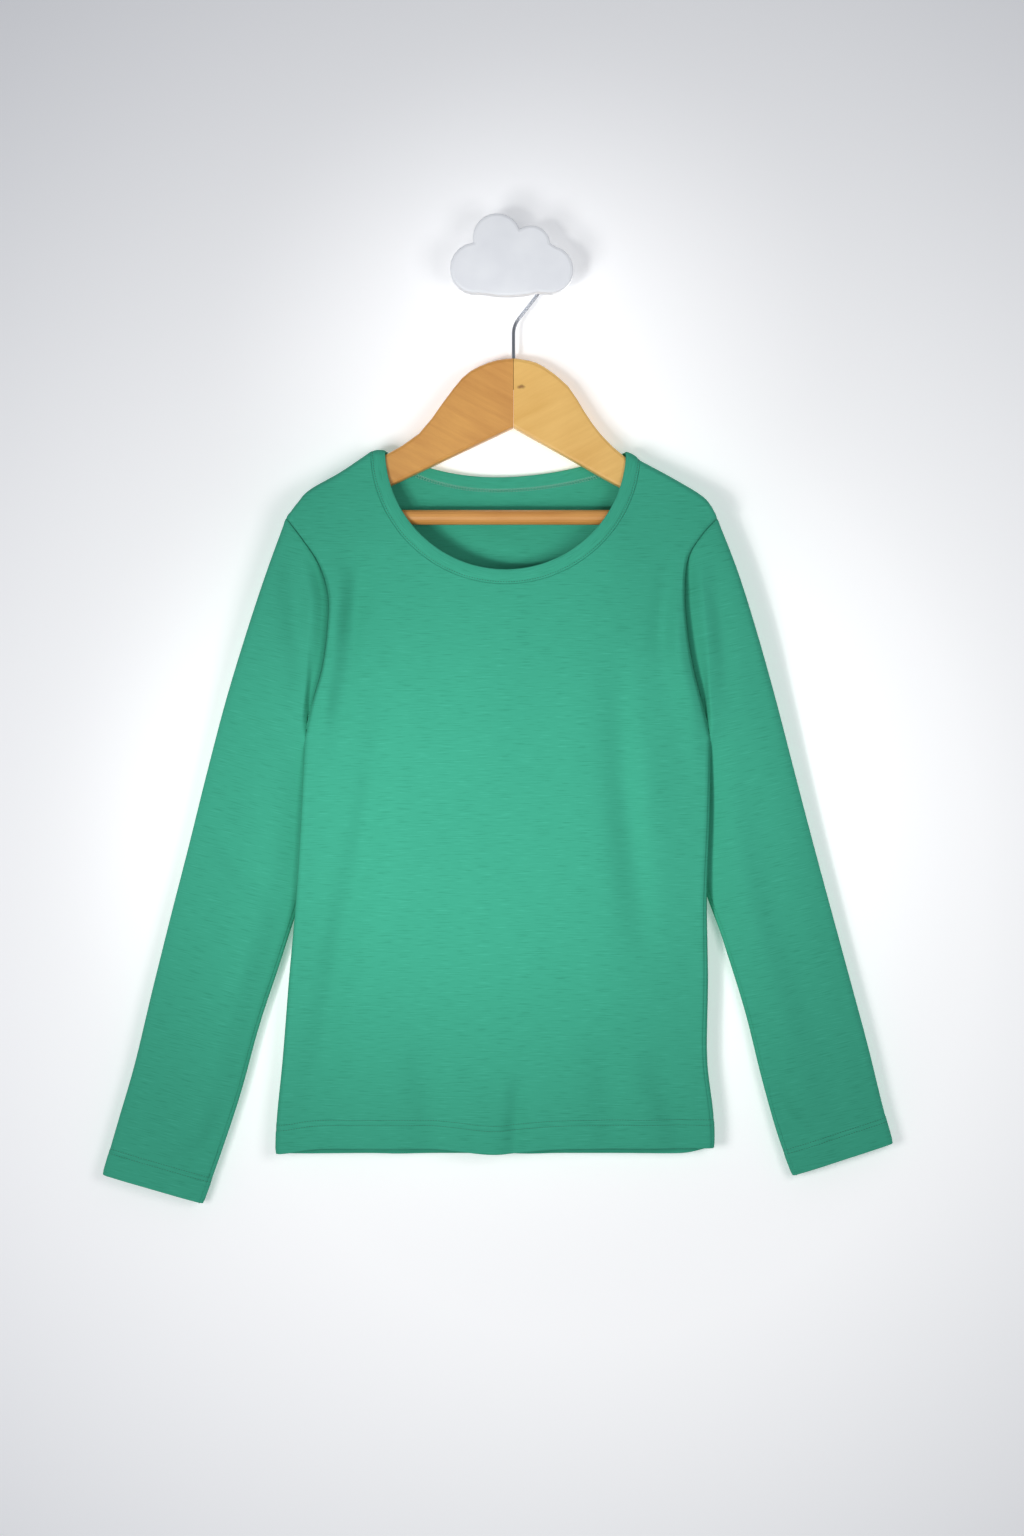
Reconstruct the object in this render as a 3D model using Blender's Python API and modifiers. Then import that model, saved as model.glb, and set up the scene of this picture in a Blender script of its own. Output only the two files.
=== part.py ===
"""A child's long-sleeved jersey T-shirt on a wooden hanger, hung from a cloud-shaped wall hook.

Units are metres and +Z is up. The shirt's front faces -Y and the wall is the plane y = 0. The origin is
the middle of the wall hook's back face. Left and right are as seen from the front.

The cloth is a wall of even thickness. Each panel is a patch between its side lines, its hem and its
shoulder and neck lines, and its depth comes from the hanger at the top and from the hanging body below.
Tables are in millimetres, as on a pattern sheet, and are turned to metres where they are read.
"""

import math

import bmesh
import bpy
import numpy as np
from mathutils import Matrix, Vector

MM = 0.001
LEFT, RIGHT = -1, 1
FRONT, BACK = -1, 1

# Cloth
WALL = 1.2 * MM
HEM_WALL = 1.9 * MM
HEM_DEPTH = 19.0 * MM
SEAM_GAP = 0.3 * MM
BAND_WALL = 2.2 * MM
BAND_PROUD = 0.5 * MM
BAND_RIDGE = 0.2 * MM
BAND_FOLD = 0.5 * MM
HEM_FOLD = 1.0 * MM

# Hanger and wall hook
WOOD_THICK = 12.0 * MM
WOOD_ROUND = 3.0 * MM
HOOK_PLANE = 16.0 * MM
SWEEP = 0.10
SWEEP_ROUND = 40.0 * MM
BAR_RADIUS = 5.7 * MM
BAR_TENON_RADIUS = 3.5 * MM
BAR_TENON = 15.0 * MM
BAR_HEIGHT = -194.2 * MM
BAR_DEPTH = -26.3 * MM
BAR_SHOULDERS = (-135.5 * MM, 120.0 * MM)
FIT = 0.3 * MM
WIRE_RADIUS = 1.5 * MM
WIRE_FOOT = -96.0 * MM
WIRE_BORE = 30.0 * MM
WIRE_BEND = (0.4 * MM, -46.4 * MM)
WIRE_SLANT = (14.4, 18.3)
WIRE_TURN = 6.0 * MM
WIRE_END = 205.0
BORE_OVERRUN = 5.0 * MM
PEG_RADIUS = 8.0 * MM
PEG_REACH = 30.0 * MM
FLANGE_RADIUS = 16.0 * MM
FLANGE_THICK = 4.0 * MM
CLOUD_THICK = 12.0 * MM
CLOUD_EDGE = 2.2 * MM
CLOUD_POINTS = 56

# Shape of the rolls and of the hanging body
SHOULDER_HALF = 8.5 * MM
SHOULDER_ROLL = 5.0 * MM
SHOULDER_FADE = 90.0 * MM
SIDE_HALF = 5.0 * MM
SIDE_ROLL = 6.0 * MM
SIDE_FADE = 85.0 * MM
BODY_MIDDLE = (-18.0 * MM, -23.0 * MM)
BODY_HALF = (8.5 * MM, 14.5 * MM)
HEM_HEIGHT = -676.0 * MM
CHEST_HEIGHT = -362.0 * MM
TIP_OPENS = 16.0 * MM
UNDERARM_OPENS = 40.0 * MM
ARMHOLE_FADE = 110.0 * MM
ARMHOLE_OPEN = (0.55, 0.95)

# Panel patch: v runs up from the hem, u runs across from the left.
UNDERARM_V = 0.55
NECK_U = 0.20
NECK_SPREAD = 24.0 * MM
SPREAD_STEP = 0.18
SHOULDER_LEAN = 3.0
FAN_START = 0.6
SIDE_REACH = 0.5
TOP_HOLD = 4.0
SIDE_ROWS = 8
ARMHOLE_ROWS = 8
SHOULDER_COLUMNS = 4
NECK_COLUMNS = 16
SLEEVE_ROWS = 13

# Extra rows and columns close to the edges where the cloth rolls, in v, u or share
AT_UNDERARM = (0.012,)
AT_TIP = (0.0036, 0.012)
AT_HEM = (0.033, 0.037)
AT_SIDE = (0.006, 0.02)
AT_NECK = (0.005, 0.02)
AT_ARMHOLE = (0.012, 0.035)
AT_CUFF = (0.049, 0.046)

# Which way the seam's edges face at the shoulder tip and under the arm, for a right armhole
TIP_FACING = (0.87, 0.0, 0.49)
UNDERARM_FACING = (0.1, 0.0, -1.0)

# Side seams from hem to underarm: left x, left z, right x, right z
SIDE_SEAM = (
    (-181.3, -677.9, 153.0, -673.4),
    (-180.3, -650.0, 152.4, -648.0),
    (-175.8, -605.0, 147.6, -605.0),
    (-171.0, -545.0, 148.2, -545.0),
    (-165.6, -484.0, 147.3, -484.0),
    (-161.8, -423.0, 149.2, -423.0),
    (-158.8, -361.8, 150.2, -361.8),
)

# Armholes from underarm to shoulder tip: left x, left z, right x, right z
ARMHOLE = (
    (-158.8, -361.8, 150.2, -361.8),
    (-153.6, -337.0, 143.8, -336.0),
    (-145.5, -308.6, 136.6, -308.0),
    (-141.4, -280.0, 132.2, -281.0),
    (-140.6, -254.0, 130.2, -254.0),
    (-147.6, -230.5, 132.4, -226.0),
    (-160.3, -211.0, 143.2, -207.8),
    (-172.5, -195.1, 154.7, -195.3),
)

# Shoulder lines from tip to neck: left x, left z, right x, right z
SHOULDER = (
    (-172.5, -195.1, 154.7, -195.3),
    (-163.5, -183.0, 149.2, -184.4),
    (-154.5, -173.3, 141.0, -176.3),
    (-131.1, -159.6, 118.9, -163.0),
    (-108.5, -144.0, 96.2, -150.6),
)

# Line between the neck points that the cloth of the neck hangs below: x, z
CREST = (
    (-98.2, -143.0),
    (-60.0, -118.0),
    (0.0, -80.0),
    (55.0, -118.0),
    (86.2, -144.0),
)

# Neck lines, at the band's seam and at its fold: front radius, left angle, right angle, back dip
NECK_CENTRE = (-6.0, -143.0)
NECK_BACK_MIDDLE = -14.0
NECK_LINES = (
    (102.5, 180.56, 355.75, -171.8),
    (92.2, 180.0, 359.4, -162.9),
)

# Where the front hem rides down: x, drop, half width
HEM_DIPS = (
    (-181.3, 4.5, 22.0),
    (-14.0, 4.5, 30.0),
)
FRONT_HEM = -673.4
BACK_HEM = -678.3
BACK_HEM_RISE = (4.9, 15.0)

# Main troughs in the panels: face, top x, top z, bottom x, bottom z, depth, half width
TROUGHS = (
    (FRONT, -109.0, -215.0, -131.0, -345.0, 3.0, 13.0),
    (FRONT, -112.0, -370.0, -131.0, -560.0, 3.2, 13.0),
    (FRONT, 74.0, -300.0, 105.0, -560.0, 2.6, 14.0),
    (BACK, -100.0, -260.0, -122.0, -520.0, 2.6, 14.0),
    (BACK, 82.0, -280.0, 104.0, -560.0, 2.6, 14.0),
)

# Sleeve edges at even steps from shoulder to cuff: outer x, outer z, inner x, inner z
SLEEVE_LEFT = (
    (-172.5, -195.1, -158.8, -361.8),
    (-187.5, -236.0, -159.5, -364.4),
    (-203.0, -282.0, -159.9, -368.0),
    (-218.8, -333.0, -158.0, -377.0),
    (-234.0, -390.0, -153.6, -412.0),
    (-248.1, -446.0, -159.0, -468.0),
    (-262.6, -502.0, -175.4, -524.0),
    (-276.6, -558.0, -193.8, -580.0),
    (-289.1, -610.0, -208.4, -633.0),
    (-302.2, -655.0, -223.2, -678.0),
    (-313.7, -694.4, -237.0, -716.7),
)
SLEEVE_RIGHT = (
    (154.7, -195.3, 150.2, -361.8),
    (170.2, -235.0, 151.0, -364.5),
    (185.2, -282.0, 151.4, -368.0),
    (199.5, -332.0, 148.6, -377.0),
    (213.7, -386.0, 145.8, -411.0),
    (228.0, -440.0, 143.0, -463.0),
    (242.7, -494.0, 160.1, -516.0),
    (257.5, -548.0, 176.8, -570.0),
    (271.0, -598.0, 189.5, -621.0),
    (281.3, -640.0, 201.6, -664.0),
    (289.7, -670.5, 213.0, -695.4),
)

# Sleeve depth at the same steps: outer edge y, inner edge y, half thickness
SLEEVE_DEPTH = (
    (-29.0, -23.0, 8.5),
    (-27.0, -22.0, 8.3),
    (-25.0, -20.0, 8.0),
    (-22.5, -15.5, 7.8),
    (-20.0, -10.2, 7.4),
    (-18.0, -9.5, 7.0),
    (-16.5, -10.0, 6.6),
    (-15.2, -11.0, 6.2),
    (-14.4, -11.6, 5.8),
    (-13.8, -12.0, 5.4),
    (-13.2, -12.2, 5.0),
)
SLEEVE_SETTLES = 0.30
ELBOW_LEFT = 0.54
ELBOW_RIGHT = 0.46
SLEEVE_EASE = 12.0 * MM
EASE_STEP = 0.09

# Hanger halves from the joint outwards: x, top z, bottom z
ARM_LEFT = (
    (-0.15, -72.2, -125.4),
    (-12.0, -73.5, -131.1),
    (-26.0, -78.4, -137.8),
    (-39.1, -87.4, -144.1),
    (-54.3, -107.2, -151.4),
    (-71.8, -130.0, -159.8),
    (-98.0, -146.9, -172.3),
    (-122.0, -157.4, -182.0),
    (-136.0, -165.6, -187.4),
    (-140.0, -168.1, -202.5),
    (-153.0, -177.0, -204.6),
    (-160.0, -184.5, -200.0),
)
ARM_RIGHT = (
    (0.15, -72.2, -125.4),
    (12.0, -74.0, -132.2),
    (23.2, -78.7, -138.5),
    (41.4, -93.5, -148.8),
    (54.0, -113.2, -155.9),
    (66.5, -130.7, -163.2),
    (85.5, -148.6, -173.4),
    (107.0, -159.7, -182.0),
    (120.5, -167.2, -187.4),
    (124.5, -169.6, -202.5),
    (136.5, -178.4, -204.6),
    (143.0, -186.0, -200.0),
)

# Lobes of the cloud plate: x, z, half width, half height
CLOUD_LOBES = (
    (-28.5, -7.2, 19.4, 19.4),
    (-12.5, 16.0, 18.2, 18.2),
    (13.3, 10.6, 14.4, 14.4),
    (27.0, -8.4, 18.2, 18.2),
    (-4.2, -9.9, 41.8, 18.5),
)
CLOUD_MIDDLE = (-1.0, -2.0)

# Colours in linear light, with roughness and metallic value
FINISHES = {
    "jersey": ((0.054, 0.366, 0.262, 1.0), 0.85, 0.0),
    "rib_band": ((0.047, 0.330, 0.235, 1.0), 0.85, 0.0),
    "varnished_wood": ((0.610, 0.300, 0.085, 1.0), 0.35, 0.0),
    "zinc_wire": ((0.70, 0.71, 0.73, 1.0), 0.20, 1.0),
    "white_paint": ((0.80, 0.82, 0.85, 1.0), 0.55, 0.0),
}


def along(rows, fraction):
    """Points at the fractions of a smooth curve through evenly spaced rows, in metres."""
    points = np.asarray(rows, dtype=float) * MM
    last = len(points) - 1
    position = np.clip(np.asarray(fraction, dtype=float), 0.0, 1.0) * last
    index = np.minimum(position.astype(int), last - 1)
    f = (position - index)[..., None]
    before = points[np.maximum(index - 1, 0)]
    start = points[index]
    end = points[index + 1]
    after = points[np.minimum(index + 2, last)]
    linear = (end - before) * f
    square = (2 * before - 5 * start + 4 * end - after) * f**2
    cube = (3 * start - before - 3 * end + after) * f**3
    return 0.5 * (2 * start + linear + square + cube)


def smooth(value):
    """An even step from 0 to 1."""
    t = np.clip(value, 0.0, 1.0)
    return t * t * (3.0 - 2.0 * t)


def rolled(value):
    """A quarter round from 0 to 1."""
    t = np.clip(value, 0.0, 1.0)
    return np.sqrt(1.0 - (1.0 - t) ** 2)


def mix(first, second, share):
    return first + (second - first) * share


def length(vectors):
    return np.linalg.norm(vectors, axis=-1)


def unit(vectors):
    return vectors / np.maximum(length(vectors), 1e-9)[..., None]


def sweep(x):
    """Depth of the middle of the hanger, whose halves sweep forward."""
    return -HOOK_PLANE - SWEEP * (np.hypot(x, SWEEP_ROUND) - SWEEP_ROUND)


def side_columns(side):
    return slice(0, 2) if side == LEFT else slice(2, 4)


def side_line(side, v):
    """Side seam and armhole as one line (x, z), v from the hem to the shoulder tip."""
    v = np.asarray(v, dtype=float)
    columns = side_columns(side)
    seam = along(np.array(SIDE_SEAM)[:, columns], v / UNDERARM_V)
    hole = along(np.array(ARMHOLE)[:, columns], (v - UNDERARM_V) / (1.0 - UNDERARM_V))
    return np.where((v < UNDERARM_V)[..., None], seam, hole)


def neck_line(face, share, inset):
    """The neck line (x, z) from left to right, at the band's seam (inset 0) or fold (inset 1)."""
    radius, left, right, dip = mix(np.array(NECK_LINES[0]), np.array(NECK_LINES[1]), inset)
    angles = np.radians(mix(left, right, np.asarray(share, dtype=float)))
    ends = np.radians(np.array((left, right)))
    centre_x, centre_z = NECK_CENTRE
    if face == FRONT:
        return np.stack((centre_x + radius * np.cos(angles), centre_z + radius * np.sin(angles)), -1) * MM
    end_x = centre_x + radius * np.cos(ends)
    end_z = centre_z + radius * np.sin(ends)
    x = mix(end_x[0], end_x[1], np.asarray(share, dtype=float))
    nearer = (x > NECK_BACK_MIDDLE).astype(int)
    rise = ((x - NECK_BACK_MIDDLE) / (end_x[nearer] - NECK_BACK_MIDDLE)) ** 2
    return np.stack((x, dip + (end_z[nearer] - dip) * rise), -1) * MM


def top_line(face, u):
    """Left shoulder, neck and right shoulder as one line (x, z)."""
    u = np.asarray(u, dtype=float)
    left = along(np.array(SHOULDER)[:, side_columns(LEFT)], u / NECK_U)
    right = along(np.array(SHOULDER)[:, side_columns(RIGHT)], (1.0 - u) / NECK_U)
    neck = neck_line(face, np.clip((u - NECK_U) / (1.0 - 2.0 * NECK_U), 0.0, 1.0), 0.0)
    line = np.where((u <= NECK_U)[..., None], left, neck)
    return np.where((u >= 1.0 - NECK_U)[..., None], right, line)


def hem_line(face, u):
    """The hem (x, z), which rides lower at the back than at the front."""
    corners = np.array(SIDE_SEAM)[0]
    x = mix(corners[0], corners[2], np.asarray(u, dtype=float))
    if face == BACK:
        rise, width = BACK_HEM_RISE
        z = BACK_HEM + rise * np.exp(-(((x - corners[2]) / width) ** 2))
        z = z + (corners[1] - BACK_HEM) * np.exp(-(((x - corners[0]) / width) ** 2))
    else:
        z = FRONT_HEM - sum(drop * np.exp(-(((x - at) / width) ** 2)) for at, drop, width in HEM_DIPS)
    return np.stack((x, z), -1) * MM


def below_crest(x, z):
    """How far a point lies below the shoulders, or below the line between the neck points."""
    steps = np.linspace(0.0, 1.0, 120)
    left = along(np.array(SHOULDER)[:, side_columns(LEFT)], steps)
    right = along(np.array(SHOULDER)[:, side_columns(RIGHT)], steps[::-1])
    crest = np.concatenate((left, np.array(CREST) * MM, right))
    return np.clip(np.interp(x, crest[:, 0], crest[:, 1]) - z, 0.0, None)


def armhole_opening(side, v):
    """How far the armhole stands open, from 0 where front and back meet to 1 at full depth."""
    line = side_line(side, v)
    from_tip = length(line - side_line(side, 1.0))
    from_underarm = length(line - side_line(side, UNDERARM_V))
    share = mix(ARMHOLE_OPEN[0], ARMHOLE_OPEN[1], smooth(from_underarm / ARMHOLE_FADE))
    opening = rolled(from_tip / TIP_OPENS) * rolled(from_underarm / UNDERARM_OPENS) * share
    return np.where(np.asarray(v) > UNDERARM_V, opening, 0.0)


def edge_round(distance, half, settled, opening):
    """Share of the panel's half depth at a distance in from its side: full at once over the hanger."""
    fast = mix(1.0, SIDE_HALF / half, settled)
    closed = fast * rolled(distance / SIDE_ROLL) + (1.0 - fast) * smooth(distance / SIDE_FADE)
    return mix(closed, 1.0, opening)


def troughs(face, x, z):
    """How far the main troughs press a panel in."""
    press = np.zeros_like(x)
    for on_face, top_x, top_z, low_x, low_z, depth, width in TROUGHS:
        if on_face != face:
            continue
        share = np.clip((top_z * MM - z) / ((top_z - low_z) * MM), 0.0, 1.0)
        line = mix(top_x, low_x, share) * MM
        press += depth * MM * np.sin(np.pi * share) * np.exp(-(((x - line) / (width * MM)) ** 2))
    return press


def panel_depth(face, x, z, sides, openings):
    """Depth of a panel's outer surface at (x, z), given the distances in from its two sides."""
    below = below_crest(x, z)
    height = np.clip((z - HEM_HEIGHT) / (CHEST_HEIGHT - HEM_HEIGHT), 0.0, 1.0)
    settled = smooth(below / SHOULDER_FADE)
    middle = mix(sweep(x), mix(BODY_MIDDLE[0], BODY_MIDDLE[1], height), settled)
    half = mix(SHOULDER_HALF, mix(BODY_HALF[0], BODY_HALF[1], smooth(height)), settled)
    share = rolled(below / SHOULDER_ROLL)
    for distance, opening in zip(sides, openings):
        share = share * edge_round(distance, half, settled, opening)
    return middle + face * (0.5 * SEAM_GAP + half * share - troughs(face, x, z) * share)


def in_neck_part(columns):
    """Which columns lie between the neck points."""
    return (columns >= NECK_U - 1e-6) & (columns <= 1.0 - NECK_U + 1e-6)


def fanned(columns, rows):
    """Columns for each row: close together beside the neck at the top, and even further down."""
    even = columns.copy()
    in_neck = in_neck_part(columns)
    even[in_neck] = np.linspace(NECK_U, 1.0 - NECK_U, in_neck.sum())
    near_top = np.clip((rows - FAN_START) / (1.0 - FAN_START), 0.0, 1.0)
    return mix(even, columns, near_top[:, None])


def near_edge(distance, reach):
    """Hold of an edge's shape on the columns near it: 1 at the edge, 0 from its reach onwards."""
    return np.clip(1.0 - distance / reach, 0.0, 1.0) ** 2


def neck_spread(u, v):
    """How far the columns beside the neck lean outwards, so that they leave its steep sides at a slant."""
    from_side = np.minimum(u, 1.0 - u)
    in_shoulder = (from_side / NECK_U) ** SHOULDER_LEAN
    beside = np.where(from_side < NECK_U, in_shoulder, (0.5 - from_side) / (0.5 - NECK_U))
    under_neck = (1.0 - v) / SPREAD_STEP
    return np.sign(u - 0.5) * NECK_SPREAD * beside * under_neck * np.exp(1.0 - under_neck)


def panel_points(face, u, v):
    """Outer points of the front or back panel, as an array of rows (v) by columns (u)."""
    v = np.asarray(v, dtype=float)
    u = fanned(np.asarray(u, dtype=float), v)
    v = np.broadcast_to(v[:, None], u.shape)
    left, right = side_line(LEFT, v), side_line(RIGHT, v)
    across, up = u[..., None], v[..., None]
    hem_ends = hem_line(face, 0.0), hem_line(face, 1.0)
    top_ends = top_line(face, 0.0), top_line(face, 1.0)
    low, high = mix(*hem_ends, across), mix(*top_ends, across)
    plane = mix(low, high, up)
    plane = plane + (left - mix(hem_ends[0], top_ends[0], up)) * near_edge(across, SIDE_REACH)
    plane = plane + (right - mix(hem_ends[1], top_ends[1], up)) * near_edge(1.0 - across, SIDE_REACH)
    plane = plane + (top_line(face, u) - high) * up**TOP_HOLD
    plane = plane + (hem_line(face, u) - low) * (1.0 - up)
    plane[..., 0] += neck_spread(u, v)
    x, z = plane[..., 0], plane[..., 1]
    sides = (length(plane - left), length(plane - right))
    openings = (armhole_opening(LEFT, v), armhole_opening(RIGHT, v))
    y = panel_depth(face, x, z, sides, openings)
    return np.stack((x, y, z), -1)


def grid_normals(points, ring):
    """Normals of a grid of points: rows by columns, where the columns may close into a ring."""
    down = np.gradient(points, axis=0)
    if ring:
        round_it = np.roll(points, -1, axis=1) - np.roll(points, 1, axis=1)
    else:
        round_it = np.gradient(points, axis=1)
    return unit(np.cross(round_it, down))


def outward(line, middle):
    """Directions square to a line (x, z) and away from a middle point, as (x, 0, z)."""
    tangent = unit(np.gradient(line, axis=0))
    square = np.stack((tangent[:, 1], -tangent[:, 0]), -1)
    square *= np.sign(np.sum(square * (line - middle), -1, keepdims=True))
    return np.stack((square[:, 0], np.zeros(len(line)), square[:, 1]), -1)


def armhole_normals(side, face, v):
    """Directions that both sides of an armhole seam share, so that their edges stay parallel."""
    opening = armhole_opening(side, v)
    line = side_line(side, v)
    near_tip = 1.0 - rolled(length(line - side_line(side, 1.0)) / TIP_OPENS)
    near_underarm = 1.0 - rolled(length(line - side_line(side, UNDERARM_V)) / UNDERARM_OPENS)
    mirrored = np.array((side, 1.0, 1.0))
    tip = np.array(TIP_FACING) * mirrored
    down = np.array(UNDERARM_FACING) * mirrored
    facing = np.array((0.0, float(face), 0.0))
    total = near_tip[:, None] * tip + near_underarm[:, None] * down + opening[:, None] * facing
    return unit(total)


def fractions(count, start, end, near_start, near_end):
    """Even steps from start to end, with extra ones close to the ends where the cloth rolls."""
    even = np.linspace(start, end, count + 1)
    extra = [start + step for step in near_start] + [end - step for step in near_end]
    return np.array(sorted(set(even.tolist() + extra)))


def panel_rows():
    side = fractions(SIDE_ROWS, 0.0, UNDERARM_V, AT_HEM, ())
    armhole = fractions(ARMHOLE_ROWS, UNDERARM_V, 1.0, AT_UNDERARM, AT_TIP)
    return np.concatenate((side, armhole[1:]))


def armhole_rows():
    """The panel rows from the shoulder tip down to the underarm."""
    rows = panel_rows()
    return rows[rows >= UNDERARM_V - 1e-6][::-1]


def panel_columns():
    left = fractions(SHOULDER_COLUMNS, 0.0, NECK_U, AT_SIDE, ())
    neck = NECK_U + (1.0 - 2.0 * NECK_U) * neck_shares()
    right = 1.0 - left[::-1]
    return np.concatenate((left, neck[1:-1], right))


def neck_shares():
    return fractions(NECK_COLUMNS, 0.0, 1.0, AT_NECK, AT_NECK)


def hem_wall(points, hem):
    """Wall thickness: double cloth in the hem, single above it."""
    return np.where(length(points - hem) < HEM_DEPTH + HEM_FOLD, HEM_WALL, WALL)


def cloth_mesh(name, outer, inner, ring):
    """A closed wall between an outer and an inner grid of points, with its rims."""
    rows, columns = outer.shape[:2]
    shell = bmesh.new()
    skins = []
    for grid in (outer, inner):
        skins.append([[shell.verts.new(Vector(point)) for point in row] for row in grid])
    spans = columns if ring else columns - 1
    for skin in skins:
        for j in range(rows - 1):
            for i in range(spans):
                k = (i + 1) % columns
                shell.faces.new((skin[j][i], skin[j][k], skin[j + 1][k], skin[j + 1][i]))
    out, back = skins
    for j in (0, rows - 1):
        for i in range(spans):
            k = (i + 1) % columns
            shell.faces.new((out[j][i], out[j][k], back[j][k], back[j][i]))
    for i in () if ring else (0, columns - 1):
        for j in range(rows - 1):
            shell.faces.new((out[j][i], out[j + 1][i], back[j + 1][i], back[j][i]))
    bmesh.ops.recalc_face_normals(shell, faces=shell.faces)
    return finished_mesh(name, shell)


def finished_mesh(name, shell):
    mesh = bpy.data.meshes.new(name)
    shell.to_mesh(mesh)
    shell.free()
    mesh.shade_smooth()
    mesh.set_sharp_from_angle(angle=math.radians(40.0))
    return mesh


def material(name):
    """The named finish as a Principled material, made once."""
    if name in bpy.data.materials:
        return bpy.data.materials[name]
    colour, roughness, metallic = FINISHES[name]
    made = bpy.data.materials.new(name)
    made.use_nodes = True
    shader = made.node_tree.nodes["Principled BSDF"]
    shader.inputs["Base Color"].default_value = colour
    shader.inputs["Roughness"].default_value = roughness
    shader.inputs["Metallic"].default_value = metallic
    made.diffuse_color = colour
    return made


def add_part(name, data, finish, collection):
    """An object for one sub-part, with its material."""
    part = bpy.data.objects.new(name, data)
    data.materials.append(material(finish))
    collection.objects.link(part)
    return part


def panel_grids(face):
    """Outer and inner points of a panel, and the normals between them."""
    columns, rows = panel_columns(), panel_rows()
    outer = panel_points(face, columns, rows)
    normals = grid_normals(outer, ring=False)
    normals *= np.sign(normals[len(rows) // 2, len(columns) // 2, 1]) * face
    middle = outer[len(rows) // 2, len(columns) // 2, [0, 2]]
    for side, column in ((LEFT, 0), (RIGHT, -1)):
        normals[:, column] = outward(side_line(side, rows), middle)
        in_hole = rows >= UNDERARM_V - 1e-6
        normals[in_hole, column] = armhole_normals(side, face, rows[in_hole])
    top = outward(top_line(face, columns), middle)
    from_side = np.minimum(columns, 1.0 - columns)
    on_shoulder = (from_side > 0.0) & (from_side <= NECK_U + 1e-6)
    normals[-1, on_shoulder] = top[on_shoulder]
    for column in (np.argmin(abs(columns - NECK_U)), np.argmin(abs(columns - 1.0 + NECK_U))):
        step = -1 if column < len(columns) // 2 else 1
        normals[-1, column] = top[column + step]
    return outer, outer - normals * hem_wall(outer, outer[0])[..., None], normals


def make_panel(name, face, collection):
    outer, inner, _ = panel_grids(face)
    return add_part(name, cloth_mesh(name, outer, inner, ring=False), "jersey", collection)


def away_from_armhole(side, share):
    """Directions (x, z) square to the armhole and away from the body, share from tip to underarm."""
    even = np.linspace(0.0, 1.0, 60)
    line = side_line(side, 1.0 - (1.0 - UNDERARM_V) * even)
    tangent = unit(np.gradient(line, axis=0))
    square = np.stack((tangent[:, 1], -tangent[:, 0]), -1)
    square *= np.sign(square[30, 0]) * side
    return unit(np.stack([np.interp(share, even, square[:, axis]) for axis in (0, 1)], -1))


def sleeve_points(side, steps, around, faces):
    """Outer points of a sleeve: rows from armhole to cuff, columns round from the tip to the underarm."""
    rows = SLEEVE_LEFT if side == LEFT else SLEEVE_RIGHT
    line = side_line(side, around)
    share = (1.0 - around) / (1.0 - UNDERARM_V)
    away = away_from_armhole(side, share)
    column = 0 if side == LEFT else -1
    at_panel = {face: panel_points(face, (0.0, 1.0), around)[:, column, 1] for face in (FRONT, BACK)}
    hole_depth = np.where(faces == FRONT, at_panel[FRONT], at_panel[BACK])
    hole_depth = np.where(faces == 0, 0.5 * (at_panel[FRONT] + at_panel[BACK]), hole_depth)
    tip, underarm = np.array(rows[0][:2]) * MM, np.array(rows[0][2:]) * MM
    grid = []
    for step in steps:
        outer_x, outer_z, inner_x, inner_z = along(rows, step)
        outer_y, inner_y, half = along(SLEEVE_DEPTH, step)
        outer, inner = np.array((outer_x, outer_z)), np.array((inner_x, inner_z))
        settled = smooth(step / SLEEVE_SETTLES)
        ease = SLEEVE_EASE * np.sin(np.pi * share) * (step / EASE_STEP) * math.exp(1.0 - step / EASE_STEP)
        reach = SEAM_GAP + ease
        slide = (outer - tip) * (1.0 - share[:, None]) ** 2 + (inner - underarm) * share[:, None] ** 2
        start = line + slide + away * reach[:, None]
        plane = mix(start, mix(outer, inner, share[:, None]), settled)
        distance = np.minimum(share, 1.0 - share) * length(inner - outer)
        round_it = 0.75 * rolled(distance / half) + 0.25 * smooth(distance / (4.0 * half))
        section = mix(outer_y, inner_y, share) + faces * half * round_it
        y = mix(hole_depth, section, settled)
        grid.append(np.stack((plane[:, 0], y, plane[:, 1]), -1))
    return np.array(grid)


def sleeve_ring():
    """Positions round a sleeve (as panel rows v) and the face that each lies on, 0 at the two folds."""
    down = armhole_rows()
    around = np.concatenate((down, down[-2:0:-1]))
    faces = np.full(len(around), float(BACK))
    faces[: len(down)] = FRONT
    faces[0] = faces[len(down) - 1] = 0
    return around, faces


def make_sleeve(name, side, collection):
    """A sleeve as two solids, one above and one below the elbow."""
    around, faces = sleeve_ring()
    steps = fractions(SLEEVE_ROWS, 0.0, 1.0, AT_ARMHOLE, AT_CUFF)
    outer = sleeve_points(side, steps, around, faces)
    normals = grid_normals(outer, ring=True)
    centre = outer.mean(axis=1, keepdims=True)
    normals *= np.sign(np.sum(normals * (outer - centre)))
    for face in (FRONT, BACK):
        chosen = (faces == face) | (faces == 0)
        normals[0, chosen] = armhole_normals(side, face, around[chosen])
    folds = np.where(faces == 0)[0]
    normals[0, folds] = armhole_normals(side, 0, around[folds])
    inner = outer - normals * hem_wall(outer, outer[-1])[..., None]
    elbow = int(np.argmin(abs(steps - (ELBOW_LEFT if side == LEFT else ELBOW_RIGHT))))
    down = unit(outer[elbow + 1] - outer[elbow - 1])
    upper = [grid[: elbow + 1].copy() for grid in (outer, inner)]
    lower = [grid[elbow:].copy() for grid in (outer, inner)]
    for grid in upper:
        grid[-1] -= 0.5 * SEAM_GAP * down
    for grid in lower:
        grid[0] += 0.5 * SEAM_GAP * down
    for part, walls in ((f"{name}_upper", upper), (f"{name}_lower", lower)):
        add_part(part, cloth_mesh(part, *walls, ring=True), "jersey", collection)


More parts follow.
